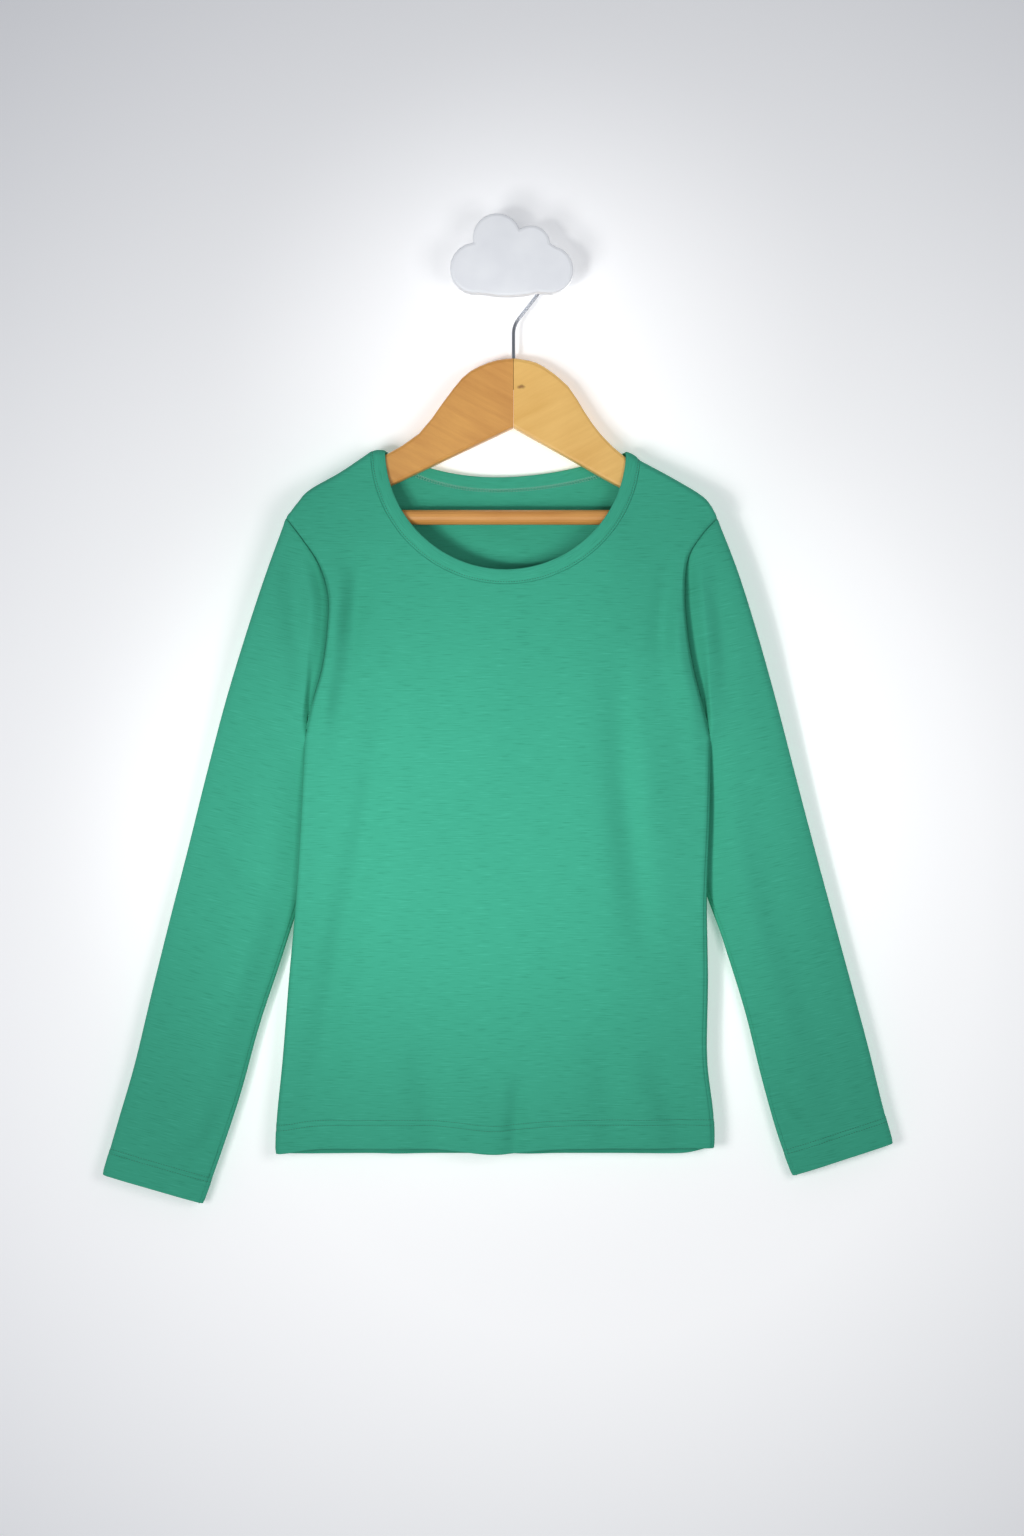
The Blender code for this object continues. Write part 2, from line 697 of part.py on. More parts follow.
def make_band(name, collection):
    """The neck band: a doubled strip from its seam on the panels to its fold, round as a ring."""
    shares = neck_shares()
    columns = panel_columns()
    in_neck = in_neck_part(columns)
    tips = [side_line(side, 1.0) for side in (LEFT, RIGHT)]
    halves = []
    for face in (FRONT, BACK):
        outer, _, normals = panel_grids(face)
        lines = []
        for inset in (0.5, 1.0):
            plane = neck_line(face, shares, inset)
            x, z = plane[:, 0], plane[:, 1]
            sides = [length(plane - tip) for tip in tips]
            y = panel_depth(face, x, z, sides, (0.0, 0.0))
            lines.append(np.stack((x, y, z), -1))
        halves.append((outer[-1, in_neck], normals[-1, in_neck], lines[0], lines[1]))
    front, back = halves
    rings = []
    for there, here in zip(front, back):
        ends = 0.5 * (there[[0, -1]] + here[[0, -1]])
        rings.append(np.concatenate((ends[:1], there[1:-1], ends[1:], here[-2:0:-1])))
    seam, seam_normals, middle, fold = rings
    seam_normals = unit(seam_normals)
    surface = np.array((seam, middle, fold))
    normals = grid_normals(surface, ring=True)
    normals *= np.sign(np.sum(normals[0] * seam_normals))
    tangent = unit(np.roll(seam, -1, axis=0) - np.roll(seam, 1, axis=0))
    inward = unit(np.cross(tangent, seam_normals))
    inward *= np.sign(np.sum(inward * (middle - seam), -1, keepdims=True))
    root = seam + inward * SEAM_GAP
    depths = (BAND_PROUD, BAND_PROUD - BAND_WALL)
    section = (
        root + seam_normals * depths[0],
        middle + normals[1] * (depths[0] + BAND_RIDGE),
        fold + normals[2] * (depths[0] - BAND_FOLD),
        fold + normals[2] * (depths[1] + BAND_FOLD),
        middle + normals[1] * depths[1],
        root + seam_normals * depths[1],
    )
    band = bmesh.new()
    rows = [[band.verts.new(Vector(point)) for point in line] for line in section]
    count = len(seam)
    for j, row in enumerate(rows):
        after = rows[(j + 1) % len(rows)]
        for i in range(count):
            k = (i + 1) % count
            band.faces.new((row[i], row[k], after[k], after[i]))
    bmesh.ops.recalc_face_normals(band, faces=band.faces)
    return add_part(name, finished_mesh(name, band), "rib_band", collection)


def arm_section(x, top, bottom):
    """One section of a hanger half: an upright strip with rounded edges."""
    middle = sweep(x)
    half = 0.5 * WOOD_THICK
    radius = min(WOOD_ROUND, 0.45 * (top - bottom))
    corners = ((1, 1, 0), (-1, 1, 90), (-1, -1, 180), (1, -1, 270))
    points = []
    for across, up, start in corners:
        centre_y = middle + across * (half - radius)
        centre_z = (top if up > 0 else bottom) - up * radius
        for turn in (0, 45, 90):
            angle = math.radians(start + turn)
            y = centre_y + radius * math.cos(angle)
            z = centre_z + radius * math.sin(angle)
            points.append(Vector((x, y, z)))
    return points


def make_arm(name, rows, side, collection, cutters):
    """A hanger half: sections lofted along its sweep, drilled for the hook and for the bar."""
    stations = [along(rows, share) for share in np.linspace(0.0, 1.0, 2 * len(rows) - 1)]
    arm = bmesh.new()
    rings = [[arm.verts.new(point) for point in arm_section(*station)] for station in stations]
    for ring, after in zip(rings, rings[1:]):
        for i in range(len(ring)):
            k = (i + 1) % len(ring)
            arm.faces.new((ring[i], ring[k], after[k], after[i]))
    arm.faces.new(rings[0])
    arm.faces.new(rings[-1])
    bmesh.ops.recalc_face_normals(arm, faces=arm.faces)
    part = add_part(name, finished_mesh(name, arm), "varnished_wood", collection)
    shoulder = BAR_SHOULDERS[0] if side == LEFT else BAR_SHOULDERS[1]
    socket = BAR_TENON + FIT
    wire_hole = (0.5 * WIRE_BEND[0], -HOOK_PLANE, WIRE_FOOT + 0.5 * WIRE_BORE)
    bar_hole = (shoulder + side * 0.5 * (socket - BORE_OVERRUN), BAR_DEPTH, BAR_HEIGHT)
    bores = (
        (wire_hole, "Z", WIRE_RADIUS + FIT, WIRE_BORE + 2.0 * FIT),
        (bar_hole, "X", BAR_TENON_RADIUS + FIT, socket + BORE_OVERRUN),
    )
    for index, (centre, axis, radius, depth) in enumerate(bores):
        cutter = cylinder(f"{name}_bore_{index}", radius, depth, centre, axis)
        cutter.hide_render = True
        cutter.display_type = "WIRE"
        cutters.objects.link(cutter)
        cut = part.modifiers.new(f"bore_{index}", "BOOLEAN")
        cut.operation = "DIFFERENCE"
        cut.solver = "EXACT"
        cut.object = cutter
    return part


def cylinder(name, radius, depth, centre, axis):
    shape = bmesh.new()
    bmesh.ops.create_cone(shape, cap_ends=True, segments=16, radius1=radius, radius2=radius, depth=depth)
    if axis == "X":
        bmesh.ops.rotate(shape, verts=shape.verts, matrix=Matrix.Rotation(math.radians(90.0), 3, "Y"))
    bmesh.ops.translate(shape, verts=shape.verts, vec=Vector(centre))
    return bpy.data.objects.new(name, finished_mesh(name, shape))


def make_bar(name, collection):
    """The hanger's bar: a turned dowel with a tenon at each end."""
    start, end = BAR_SHOULDERS
    profile = (
        (0.0, start - BAR_TENON),
        (BAR_TENON_RADIUS, start - BAR_TENON),
        (BAR_TENON_RADIUS, start + FIT),
        (BAR_RADIUS, start + FIT),
        (BAR_RADIUS, end - FIT),
        (BAR_TENON_RADIUS, end - FIT),
        (BAR_TENON_RADIUS, end + BAR_TENON),
        (0.0, end + BAR_TENON),
    )
    part = turned(name, profile, 16, "varnished_wood", collection)
    part.rotation_euler = (0.0, math.radians(90.0), 0.0)
    part.location = (0.0, BAR_DEPTH, BAR_HEIGHT)
    return part


def turned(name, profile, steps, finish, collection):
    """A turned piece: a profile of radius and height, bottom to top, spun about its own Z axis."""
    line = bmesh.new()
    points = [line.verts.new((radius, 0.0, height)) for radius, height in reversed(profile)]
    for first, second in zip(points, points[1:]):
        line.edges.new((first, second))
    mesh = bpy.data.meshes.new(name)
    line.to_mesh(mesh)
    line.free()
    part = add_part(name, mesh, finish, collection)
    spin = part.modifiers.new("turned", "SCREW")
    spin.axis = "Z"
    spin.steps = steps
    spin.render_steps = steps
    spin.use_merge_vertices = True
    spin.merge_threshold = 0.00001
    spin.use_smooth_shade = False
    return part


def hook_route():
    """The hook's wire: up from the hanger, over to the right and round above the peg."""
    bend = Vector(WIRE_BEND)
    rest_height = PEG_RADIUS + FIT + WIRE_RADIUS
    slant = Vector(WIRE_SLANT).normalized()
    square = Vector((slant.y, -slant.x))
    radius = (Vector((0.0, rest_height)) - bend).dot(square) / (square.y - 1.0)
    centre = Vector((0.0, rest_height - radius))
    start_angle = math.atan2(square.y, square.x)
    route = [Vector((0.0, WIRE_FOOT)), Vector((0.0, bend.y - 2.0 * WIRE_TURN))]
    before = Vector((0.0, bend.y - WIRE_TURN))
    after = bend + slant * WIRE_TURN
    for share in np.linspace(0.0, 1.0, 6):
        route.append(before.lerp(bend, share).lerp(bend.lerp(after, share), share))
    for angle in np.linspace(start_angle, math.radians(WIRE_END), 22):
        route.append(centre + radius * Vector((math.cos(angle), math.sin(angle))))
    return [(point.x, -HOOK_PLANE, point.y) for point in route]


def make_hook(name, collection):
    curve = bpy.data.curves.new(name, "CURVE")
    curve.dimensions = "3D"
    curve.bevel_depth = WIRE_RADIUS
    curve.bevel_resolution = 2
    curve.use_fill_caps = True
    route = hook_route()
    spline = curve.splines.new("POLY")
    spline.points.add(len(route) - 1)
    for point, place in zip(spline.points, route):
        point.co = (*place, 1.0)
    return add_part(name, curve, "zinc_wire", collection)


def make_peg(name, collection):
    """The wall peg: a turned stem with a flange against the wall."""
    round_edge = 1.0 * MM
    profile = (
        (0.0, 0.0),
        (FLANGE_RADIUS, 0.0),
        (FLANGE_RADIUS, FLANGE_THICK - round_edge),
        (FLANGE_RADIUS - round_edge, FLANGE_THICK),
        (PEG_RADIUS + round_edge, FLANGE_THICK),
        (PEG_RADIUS, FLANGE_THICK + round_edge),
        (PEG_RADIUS, PEG_REACH),
        (0.0, PEG_REACH),
    )
    part = turned(name, profile, 24, "white_paint", collection)
    part.rotation_euler = (math.radians(90.0), 0.0, 0.0)
    return part


def cloud_outline():
    """The cloud's edge (x, z): the farthest lobe along each ray from its middle."""
    outline = []
    middle_x, middle_z = CLOUD_MIDDLE
    for angle in np.linspace(0.0, 2.0 * math.pi, CLOUD_POINTS, endpoint=False):
        ray_x, ray_z = math.cos(angle), math.sin(angle)
        reach = 0.0
        for x, z, wide, high in CLOUD_LOBES:
            from_x, from_z = (middle_x - x) / wide, (middle_z - z) / high
            a = (ray_x / wide) ** 2 + (ray_z / high) ** 2
            b = from_x * ray_x / wide + from_z * ray_z / high
            c = from_x**2 + from_z**2 - 1.0
            inside = b * b - a * c
            if inside > 0.0:
                reach = max(reach, (-b + math.sqrt(inside)) / a)
        outline.append(((middle_x + reach * ray_x) * MM, (middle_z + reach * ray_z) * MM))
    return outline


def make_cloud(name, collection):
    """The cloud plate: a flat outline with rounded edges, standing on the peg's end."""
    curve = bpy.data.curves.new(name, "CURVE")
    curve.dimensions = "2D"
    curve.fill_mode = "BOTH"
    curve.extrude = 0.5 * CLOUD_THICK - CLOUD_EDGE
    curve.bevel_depth = CLOUD_EDGE
    curve.bevel_resolution = 1
    curve.offset = -CLOUD_EDGE
    outline = cloud_outline()
    spline = curve.splines.new("POLY")
    spline.points.add(len(outline) - 1)
    for point, (x, z) in zip(spline.points, outline):
        point.co = (x, z, 0.0, 1.0)
    spline.use_cyclic_u = True
    part = add_part(name, curve, "white_paint", collection)
    part.rotation_euler = (math.radians(90.0), 0.0, 0.0)
    part.location = (0.0, -PEG_REACH - FIT - 0.5 * CLOUD_THICK, 0.0)
    return part


def main():
    for leftover in list(bpy.data.objects):
        bpy.data.objects.remove(leftover, do_unlink=True)
    parts = bpy.data.collections.new("hung_tshirt")
    cutters = bpy.data.collections.new("cutters")
    for collection in (parts, cutters):
        bpy.context.scene.collection.children.link(collection)
    make_panel("front_panel", FRONT, parts)
    make_panel("back_panel", BACK, parts)
    make_sleeve("sleeve_left", LEFT, parts)
    make_sleeve("sleeve_right", RIGHT, parts)
    make_band("neck_band", parts)
    make_arm("hanger_arm_left", ARM_LEFT, LEFT, parts, cutters)
    make_arm("hanger_arm_right", ARM_RIGHT, RIGHT, parts, cutters)
    make_bar("hanger_bar", parts)
    make_hook("hanger_hook", parts)
    make_peg("wall_peg", parts)
    make_cloud("wall_cloud", parts)


main()
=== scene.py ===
"""A child's long-sleeved jersey T-shirt on a wooden hanger, hung from a cloud-shaped wall hook.

Lengths are in metres unless a name or comment says millimetres. The shirt's front faces -Y and the wall is
the plane y = 0. Left and right are as seen from the front. Tables hold pattern sizes in millimetres.
"""

import logging
import math
from collections.abc import Callable, Sequence
from dataclasses import dataclass, field
from enum import Enum

import bmesh
import bpy
import numpy as np
from mathutils import Matrix, Vector

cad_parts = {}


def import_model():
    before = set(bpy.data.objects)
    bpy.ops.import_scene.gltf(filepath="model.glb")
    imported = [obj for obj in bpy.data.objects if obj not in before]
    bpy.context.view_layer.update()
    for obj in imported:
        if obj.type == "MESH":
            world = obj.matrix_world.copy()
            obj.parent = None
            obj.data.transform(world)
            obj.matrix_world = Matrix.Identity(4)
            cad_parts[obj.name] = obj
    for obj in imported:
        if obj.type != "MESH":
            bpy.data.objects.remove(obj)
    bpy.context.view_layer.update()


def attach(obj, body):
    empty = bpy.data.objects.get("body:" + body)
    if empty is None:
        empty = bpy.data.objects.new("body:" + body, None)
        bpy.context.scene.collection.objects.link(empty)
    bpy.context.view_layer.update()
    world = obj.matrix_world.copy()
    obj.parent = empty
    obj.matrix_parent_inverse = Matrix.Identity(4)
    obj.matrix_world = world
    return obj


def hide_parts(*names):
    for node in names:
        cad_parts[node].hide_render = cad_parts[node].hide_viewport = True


log = logging.getLogger("tshirt")

MM = 0.001
TINY = 1e-6
# Faces of a sheet that vote on which side of it is its outside
VOTERS = 400
# Length of a column from which a panel's rows can be those of its turned-up hem
HEM_FROM = 0.4
# Rows above a hem's edge from which its direction is taken
ROWS_ABOVE = 4
Array = np.ndarray


class Side(Enum):
    """Which side of the shirt, as seen from the front."""

    LEFT = -1
    RIGHT = 1


class Face(Enum):
    """Which face of the shirt."""

    FRONT = -1
    BACK = 1


ON_FRONT, ON_BACK, ON_BOTH = (Face.FRONT,), (Face.BACK,), (Face.FRONT, Face.BACK)


def curve(rows: Sequence, fraction: Array) -> Array:
    """Points in metres on a smooth curve through evenly spaced rows in millimetres, at fractions 0 to 1."""
    points = np.asarray(rows, dtype=float) * MM
    last = len(points) - 1
    position = np.clip(np.asarray(fraction, dtype=float), 0.0, 1.0) * last
    index = np.minimum(position.astype(int), last - 1)
    f = (position - index)[..., None]
    before = points[np.maximum(index - 1, 0)]
    start = points[index]
    end = points[index + 1]
    after = points[np.minimum(index + 2, last)]
    linear = (end - before) * f
    square = (2 * before - 5 * start + 4 * end - after) * f**2
    cube = (3 * start - before - 3 * end + after) * f**3
    return 0.5 * (2 * start + linear + square + cube)


def smooth(value: Array) -> Array:
    """An even step from 0 to 1."""
    t = np.clip(value, 0.0, 1.0)
    return t * t * (3.0 - 2.0 * t)


def rolled(value: Array) -> Array:
    """A quarter round from 0 to 1."""
    t = np.clip(value, 0.0, 1.0)
    return np.sqrt(1.0 - (1.0 - t) ** 2)


def mix(first: Array, second: Array, share: Array) -> Array:
    """A blend of two values."""
    return first + (second - first) * share


def length(vectors: Array) -> Array:
    """Lengths of an array of vectors."""
    return np.linalg.norm(vectors, axis=-1)


def unit(vectors: Array) -> Array:
    """Vectors brought to length 1."""
    return vectors / np.maximum(length(vectors), 1e-9)[..., None]


def grid_normals(points: Array, ring: bool) -> Array:
    """Unit normals of a grid of points, whose columns may close into a ring."""
    down = np.gradient(points, axis=0)
    if ring:
        round_it = np.roll(points, -1, axis=1) - np.roll(points, 1, axis=1)
    else:
        round_it = np.gradient(points, axis=1)
    return unit(np.cross(round_it, down))


def steps(count: int, start: float, end: float, extra: Sequence[float] = ()) -> Array:
    """Even steps from start to end, sorted, with those of the extra values that lie between the two."""
    even = np.linspace(start, end, count + 1)
    values = np.concatenate((even, [value for value in extra if start < value < end]))
    values = np.unique(np.round(values, 7))
    keep = np.concatenate(([True], np.diff(values) > 1e-5))
    return values[keep]


@dataclass(frozen=True)
class Fold:
    """A soft trough or ridge in the cloth.

    Attributes:
        faces: The faces of the shirt that it crosses.
        route: Points (x, z) along it, in millimetres.
        depth: How far it goes in, in millimetres, less than 0 for a ridge.
        width: Half its width, in millimetres.
        lean: From -1 to 1, the side on which it is steeper.
        lean_share: How far a full lean narrows one side and widens the other.
        taper: How soon it fades toward its ends.
        points: Number of points along it.
    """

    faces: tuple[Face, ...]
    route: tuple[tuple[float, float], ...]
    depth: float
    width: float
    lean: float = 0.0
    lean_share: float = 0.45
    taper: float = 0.8
    points: int = 41

    def press(self, x: Array, z: Array) -> Array:
        """How far the fold presses the cloth in at places x and heights z, all in metres."""
        line = curve(self.route, np.linspace(0.0, 1.0, self.points))
        nearest = np.full(np.shape(x), np.inf)
        share = np.zeros(np.shape(x))
        signed = np.zeros(np.shape(x))
        count = len(line) - 1
        for index in range(count):
            start, span = line[index], line[index + 1] - line[index]
            size = float(span @ span)
            t = np.clip(((x - start[0]) * span[0] + (z - start[1]) * span[1]) / size, 0.0, 1.0)
            off_x = x - start[0] - t * span[0]
            off_z = z - start[1] - t * span[1]
            distance = np.hypot(off_x, off_z)
            closer = distance < nearest
            nearest = np.where(closer, distance, nearest)
            share = np.where(closer, (index + t) / count, share)
            across = (span[0] * off_z - span[1] * off_x) / math.sqrt(size)
            signed = np.where(closer, across, signed)
        width = self.width * MM * (1.0 + self.lean * np.sign(signed) * self.lean_share)
        profile = np.exp(-((nearest / width) ** 2))
        return self.depth * MM * profile * np.sin(np.pi * share) ** self.taper


Table = tuple[tuple[float, ...], ...]


@dataclass(frozen=True)
class ShirtForm:
    """The shape in which the shirt hangs: its seam lines and the depth of its cloth.

    The tables are in millimetres. Each panel is a patch between its side lines, its hem and its shoulder and
    neck lines, and its depth comes from the hanger at the top and from the hanging body below.
    """

    # Side seams from hem to underarm, and armholes on to the shoulder tip: left x, left z, right x, right z
    side_seam: Table = (
        (-181.3, -677.9, 153.0, -673.4), (-180.3, -650.0, 152.4, -648.0), (-175.8, -605.0, 147.6, -605.0),
        (-171.0, -545.0, 148.2, -545.0), (-165.6, -484.0, 147.3, -484.0), (-161.8, -423.0, 149.2, -423.0),
        (-158.8, -361.8, 150.2, -361.8),
    )
    armhole: Table = (
        (-158.8, -361.8, 150.2, -361.8), (-153.6, -337.0, 143.8, -336.0), (-145.5, -308.6, 136.6, -308.0),
        (-141.4, -280.0, 132.2, -281.0), (-140.6, -254.0, 130.2, -254.0), (-147.6, -230.5, 132.4, -226.0),
        (-160.3, -211.0, 143.2, -207.8), (-172.5, -195.1, 154.7, -195.3),
    )
    # Shoulder lines from tip to neck: left x, left z, right x, right z
    shoulder: Table = (
        (-172.5, -195.1, 154.7, -195.3), (-163.5, -183.0, 149.2, -184.4), (-154.5, -173.3, 141.0, -176.3),
        (-131.1, -159.6, 118.9, -163.0), (-108.5, -144.0, 96.2, -150.6),
    )
    # Line between the neck points that the cloth of the neck hangs below: x, z
    crest: Table = (
        (-98.2, -143.0), (-60.0, -118.0), (0.0, -80.0), (55.0, -118.0), (86.2, -144.0),
    )
    # Neck lines at the band's seam and at its fold: front radius, left angle, right angle, back dip
    neck_lines: Table = (
        (102.5, 180.56, 355.75, -171.8),
        (92.2, 180.0, 359.4, -162.9),
    )
    neck_centre: tuple[float, float] = (-6.0, -143.0)
    neck_back_middle: float = -14.0
    # Where the front hem rides down: x, drop, half width
    hem_dips: Table = (
        (-181.3, 4.5, 22.0), (-14.0, 4.5, 30.0),
    )
    front_hem: float = -673.4
    back_hem: float = -678.3
    back_hem_rise: tuple[float, float] = (4.9, 15.0)
    # Sleeve edges at even steps from shoulder to cuff: outer x, outer z, inner x, inner z
    sleeve_left: Table = (
        (-172.5, -195.1, -158.8, -361.8), (-187.5, -236.0, -158.0, -364.4), (-203.0, -282.0, -157.0, -368.0),
        (-218.8, -333.0, -155.6, -377.0), (-234.0, -390.0, -153.6, -412.0), (-248.1, -446.0, -159.0, -468.0),
        (-262.6, -502.0, -175.4, -524.0), (-276.6, -558.0, -193.8, -580.0), (-289.1, -610.0, -208.4, -633.0),
        (-302.2, -655.0, -223.2, -678.0), (-313.7, -694.4, -237.0, -716.7),
    )
    sleeve_right: Table = (
        (154.7, -195.3, 150.2, -361.8), (170.2, -235.0, 149.4, -364.5), (185.2, -282.0, 148.4, -368.0),
        (199.5, -332.0, 147.0, -377.0), (213.7, -386.0, 145.8, -411.0), (228.0, -440.0, 143.0, -463.0),
        (242.7, -494.0, 160.1, -516.0), (257.5, -548.0, 176.8, -570.0), (271.0, -598.0, 189.5, -621.0),
        (281.3, -640.0, 201.6, -664.0), (289.7, -670.5, 213.0, -695.4),
    )
    # Sleeve depth at the same steps: outer edge y, inner edge y, half thickness
    sleeve_depth: Table = (
        (-29.0, -23.0, 8.5), (-27.0, -22.0, 8.3), (-25.0, -20.0, 8.0), (-22.5, -15.5, 7.8), (-20.0, -10.2, 7.4),
        (-18.0, -9.5, 7.0), (-16.5, -10.0, 6.6), (-15.2, -11.0, 6.2), (-14.4, -11.6, 5.8), (-13.8, -12.0, 5.4),
        (-13.2, -12.2, 5.0),
    )
    seam_gap: float = 0.04 * MM
    sweep_from: float = -16.0 * MM
    sweep_slope: float = 0.10
    sweep_round: float = 40.0 * MM
    shoulder_half: float = 8.5 * MM
    shoulder_roll: float = 5.0 * MM
    shoulder_fade: float = 90.0 * MM
    side_half: float = 5.0 * MM
    side_roll: float = 6.0 * MM
    side_fade: float = 85.0 * MM
    body_middle: tuple[float, float] = (-18.0 * MM, -23.0 * MM)
    body_half: tuple[float, float] = (8.5 * MM, 14.5 * MM)
    hem_height: float = -676.0 * MM
    chest_height: float = -362.0 * MM
    tip_opens: float = 16.0 * MM
    underarm_opens: float = 40.0 * MM
    armhole_fade: float = 110.0 * MM
    armhole_open: tuple[float, float] = (0.50, 0.62)
    valley: float = 7.0 * MM
    valley_from: tuple[float, float] = (22.0 * MM, 60.0 * MM)
    valley_half: tuple[float, float] = (3.5 * MM, 17.0 * MM)
    underarm_v: float = 0.55
    neck_u: float = 0.20
    neck_spread: float = 24.0 * MM
    spread_step: float = 0.18
    shoulder_lean: float = 1.2
    fan_start: float = 0.6
    side_reach: float = 0.5
    top_hold: float = 4.0
    # The most of the cloth's depth that a valley takes
    valley_share: float = 0.8
    line_points: int = 120
    hole_points: int = 60
    # A sleeve's section: share of the round in it, and reach of the rest in half thicknesses
    sleeve_round: float = 0.75
    sleeve_reach: float = 4.0
    sleeve_folds_from: float = 0.06
    sleeve_settles: float = 0.30
    sleeve_ease: float = 12.0 * MM
    ease_step: float = 0.09
    folds: tuple[Fold, ...] = (
        Fold(ON_FRONT, ((-113, -222), (-121, -262), (-132, -308), (-137, -358)), 8, 11.0, 0.3),
        Fold(
            ON_FRONT,
            ((-97, -318), (-106, -390), (-118, -455), (-132, -517), (-140, -568), (-150, -615), (-166, -668)),
            8.7, 14.0, 0.3,
        ),
        Fold(ON_FRONT, ((79, -290), (84, -390), (93, -460), (102, -530)), 6.6, 13.0, -0.3),
        Fold(ON_FRONT, ((121, -222), (117, -258), (112, -300)), 6, 9.0),
        Fold(ON_FRONT, ((-70, -596), (-64, -640), (-60, -710)), 3.9, 14.0),
        Fold(ON_FRONT, ((6, -618), (2, -655), (1, -705)), 5, 8.0),
        Fold(ON_FRONT, ((66, -590), (74, -640), (80, -712)), 3.6, 15.0),
        Fold(ON_FRONT, ((104, -600), (122, -648), (138, -706)), 4.9, 11.0),
        Fold(ON_FRONT, ((-134, -226), (-133, -262), (-135, -305), (-146, -352), (-154, -400)), -9.1, 9.0),
        Fold(ON_FRONT, ((123, -226), (122, -262), (127, -305), (138, -350), (143, -400)), -9.1, 9.0),
        Fold(ON_FRONT, ((-20, -250), (-24, -330), (-30, -420)), -2.5, 34.0),
        Fold(ON_BACK, ((-100, -250), (-112, -380), (-122, -530)), 8.5, 14.0, 0.2),
        Fold(ON_BACK, ((82, -270), (90, -400), (106, -570)), 8, 14.0, -0.2),
        Fold(ON_BACK, ((-46, -186), (-20, -212), (14, -216), (44, -190)), 3.6, 12.0),
        Fold(ON_BACK, ((20, -560), (14, -630), (10, -716)), 4.9, 13.0),
        Fold(ON_BACK, ((-80, -580), (-84, -640), (-92, -716)), 4.2, 14.0),
    )
    sleeve_folds: tuple[Fold, ...] = (
        Fold(ON_BOTH, ((-176, -370), (-186, -461), (-210, -545), (-233, -626), (-256, -702)), -4.4, 17.0),
        Fold(ON_BOTH, ((-214, -300), (-232, -372), (-256, -470), (-280, -560)), 3.2, 12.0),
        Fold(ON_FRONT, ((-172, -212), (-169, -240), (-164, -275), (-162, -312), (-166, -346)), 4.4, 10.0),
        Fold(ON_FRONT, ((-236, -424), (-208, -462), (-178, -488)), 2.2, 9.0),
        Fold(ON_FRONT, ((-218, -636), (-236, -672), (-266, -692)), 2.8, 8.0),
        Fold(ON_BACK, ((-176, -440), (-208, -500), (-244, -520)), 2.9, 10.0),
        Fold(ON_BOTH, ((156, -366), (167, -422), (178, -489), (200, -562), (219, -625), (236, -700)), -4.9, 15.0),
        Fold(ON_BOTH, ((196, -300), (214, -372), (238, -470), (262, -566)), 3.4, 12.0),
        Fold(ON_FRONT, ((152, -222), (156, -256), (160, -300), (162, -340)), 2.9, 8.0),
        Fold(ON_FRONT, ((192, -616), (207, -648), (232, -668)), 4.4, 7.0),
        Fold(ON_BACK, ((150, -430), (184, -478), (222, -492)), 2.9, 10.0),
    )

    def sweep(self, x: Array) -> Array:
        """Depth of the middle of the hanger, whose halves sweep forward."""
        return self.sweep_from - self.sweep_slope * (np.hypot(x, self.sweep_round) - self.sweep_round)

    def columns_of(self, side: Side) -> slice:
        """The columns of a table that belong to a side."""
        return slice(0, 2) if side is Side.LEFT else slice(2, 4)

    def side_line(self, side: Side, v: Array) -> Array:
        """Side seam and armhole as one line (x, z), v from the hem to the shoulder tip."""
        v = np.asarray(v, dtype=float)
        columns = self.columns_of(side)
        seam = curve(np.array(self.side_seam)[:, columns], v / self.underarm_v)
        hole = curve(np.array(self.armhole)[:, columns], (v - self.underarm_v) / (1.0 - self.underarm_v))
        return np.where((v < self.underarm_v)[..., None], seam, hole)

    def neck_line(self, face: Face, share: Array, inset: float) -> Array:
        """The neck line (x, z) from left to right, inset from 0 at the band's seam to 1 at its fold."""
        radius, left, right, dip = mix(np.array(self.neck_lines[0]), np.array(self.neck_lines[1]), inset)
        angles = np.radians(mix(left, right, np.asarray(share, dtype=float)))
        ends = np.radians(np.array((left, right)))
        centre_x, centre_z = self.neck_centre
        if face is Face.FRONT:
            round_x = centre_x + radius * np.cos(angles)
            round_z = centre_z + radius * np.sin(angles)
            return np.stack((round_x, round_z), -1) * MM
        end_x = centre_x + radius * np.cos(ends)
        end_z = centre_z + radius * np.sin(ends)
        x = mix(end_x[0], end_x[1], np.asarray(share, dtype=float))
        nearer = (x > self.neck_back_middle).astype(int)
        rise = ((x - self.neck_back_middle) / (end_x[nearer] - self.neck_back_middle)) ** 2
        return np.stack((x, dip + (end_z[nearer] - dip) * rise), -1) * MM

    def top_line(self, face: Face, u: Array) -> Array:
        """Left shoulder, neck and right shoulder as one line (x, z)."""
        u = np.asarray(u, dtype=float)
        left = curve(np.array(self.shoulder)[:, self.columns_of(Side.LEFT)], u / self.neck_u)
        right = curve(np.array(self.shoulder)[:, self.columns_of(Side.RIGHT)], (1.0 - u) / self.neck_u)
        share = np.clip((u - self.neck_u) / (1.0 - 2.0 * self.neck_u), 0.0, 1.0)
        line = np.where((u <= self.neck_u)[..., None], left, self.neck_line(face, share, 0.0))
        return np.where((u >= 1.0 - self.neck_u)[..., None], right, line)

    def hem_line(self, face: Face, u: Array) -> Array:
        """The hem (x, z), which rides lower at the back than at the front."""
        corners = self.side_seam[0]
        x = mix(corners[0], corners[2], np.asarray(u, dtype=float))
        if face is Face.BACK:
            rise, width = self.back_hem_rise
            z = self.back_hem + rise * np.exp(-(((x - corners[2]) / width) ** 2))
            z = z + (corners[1] - self.back_hem) * np.exp(-(((x - corners[0]) / width) ** 2))
        else:
            dips = (drop * np.exp(-(((x - at) / width) ** 2)) for at, drop, width in self.hem_dips)
            z = self.front_hem - sum(dips)
        return np.stack((x, z), -1) * MM

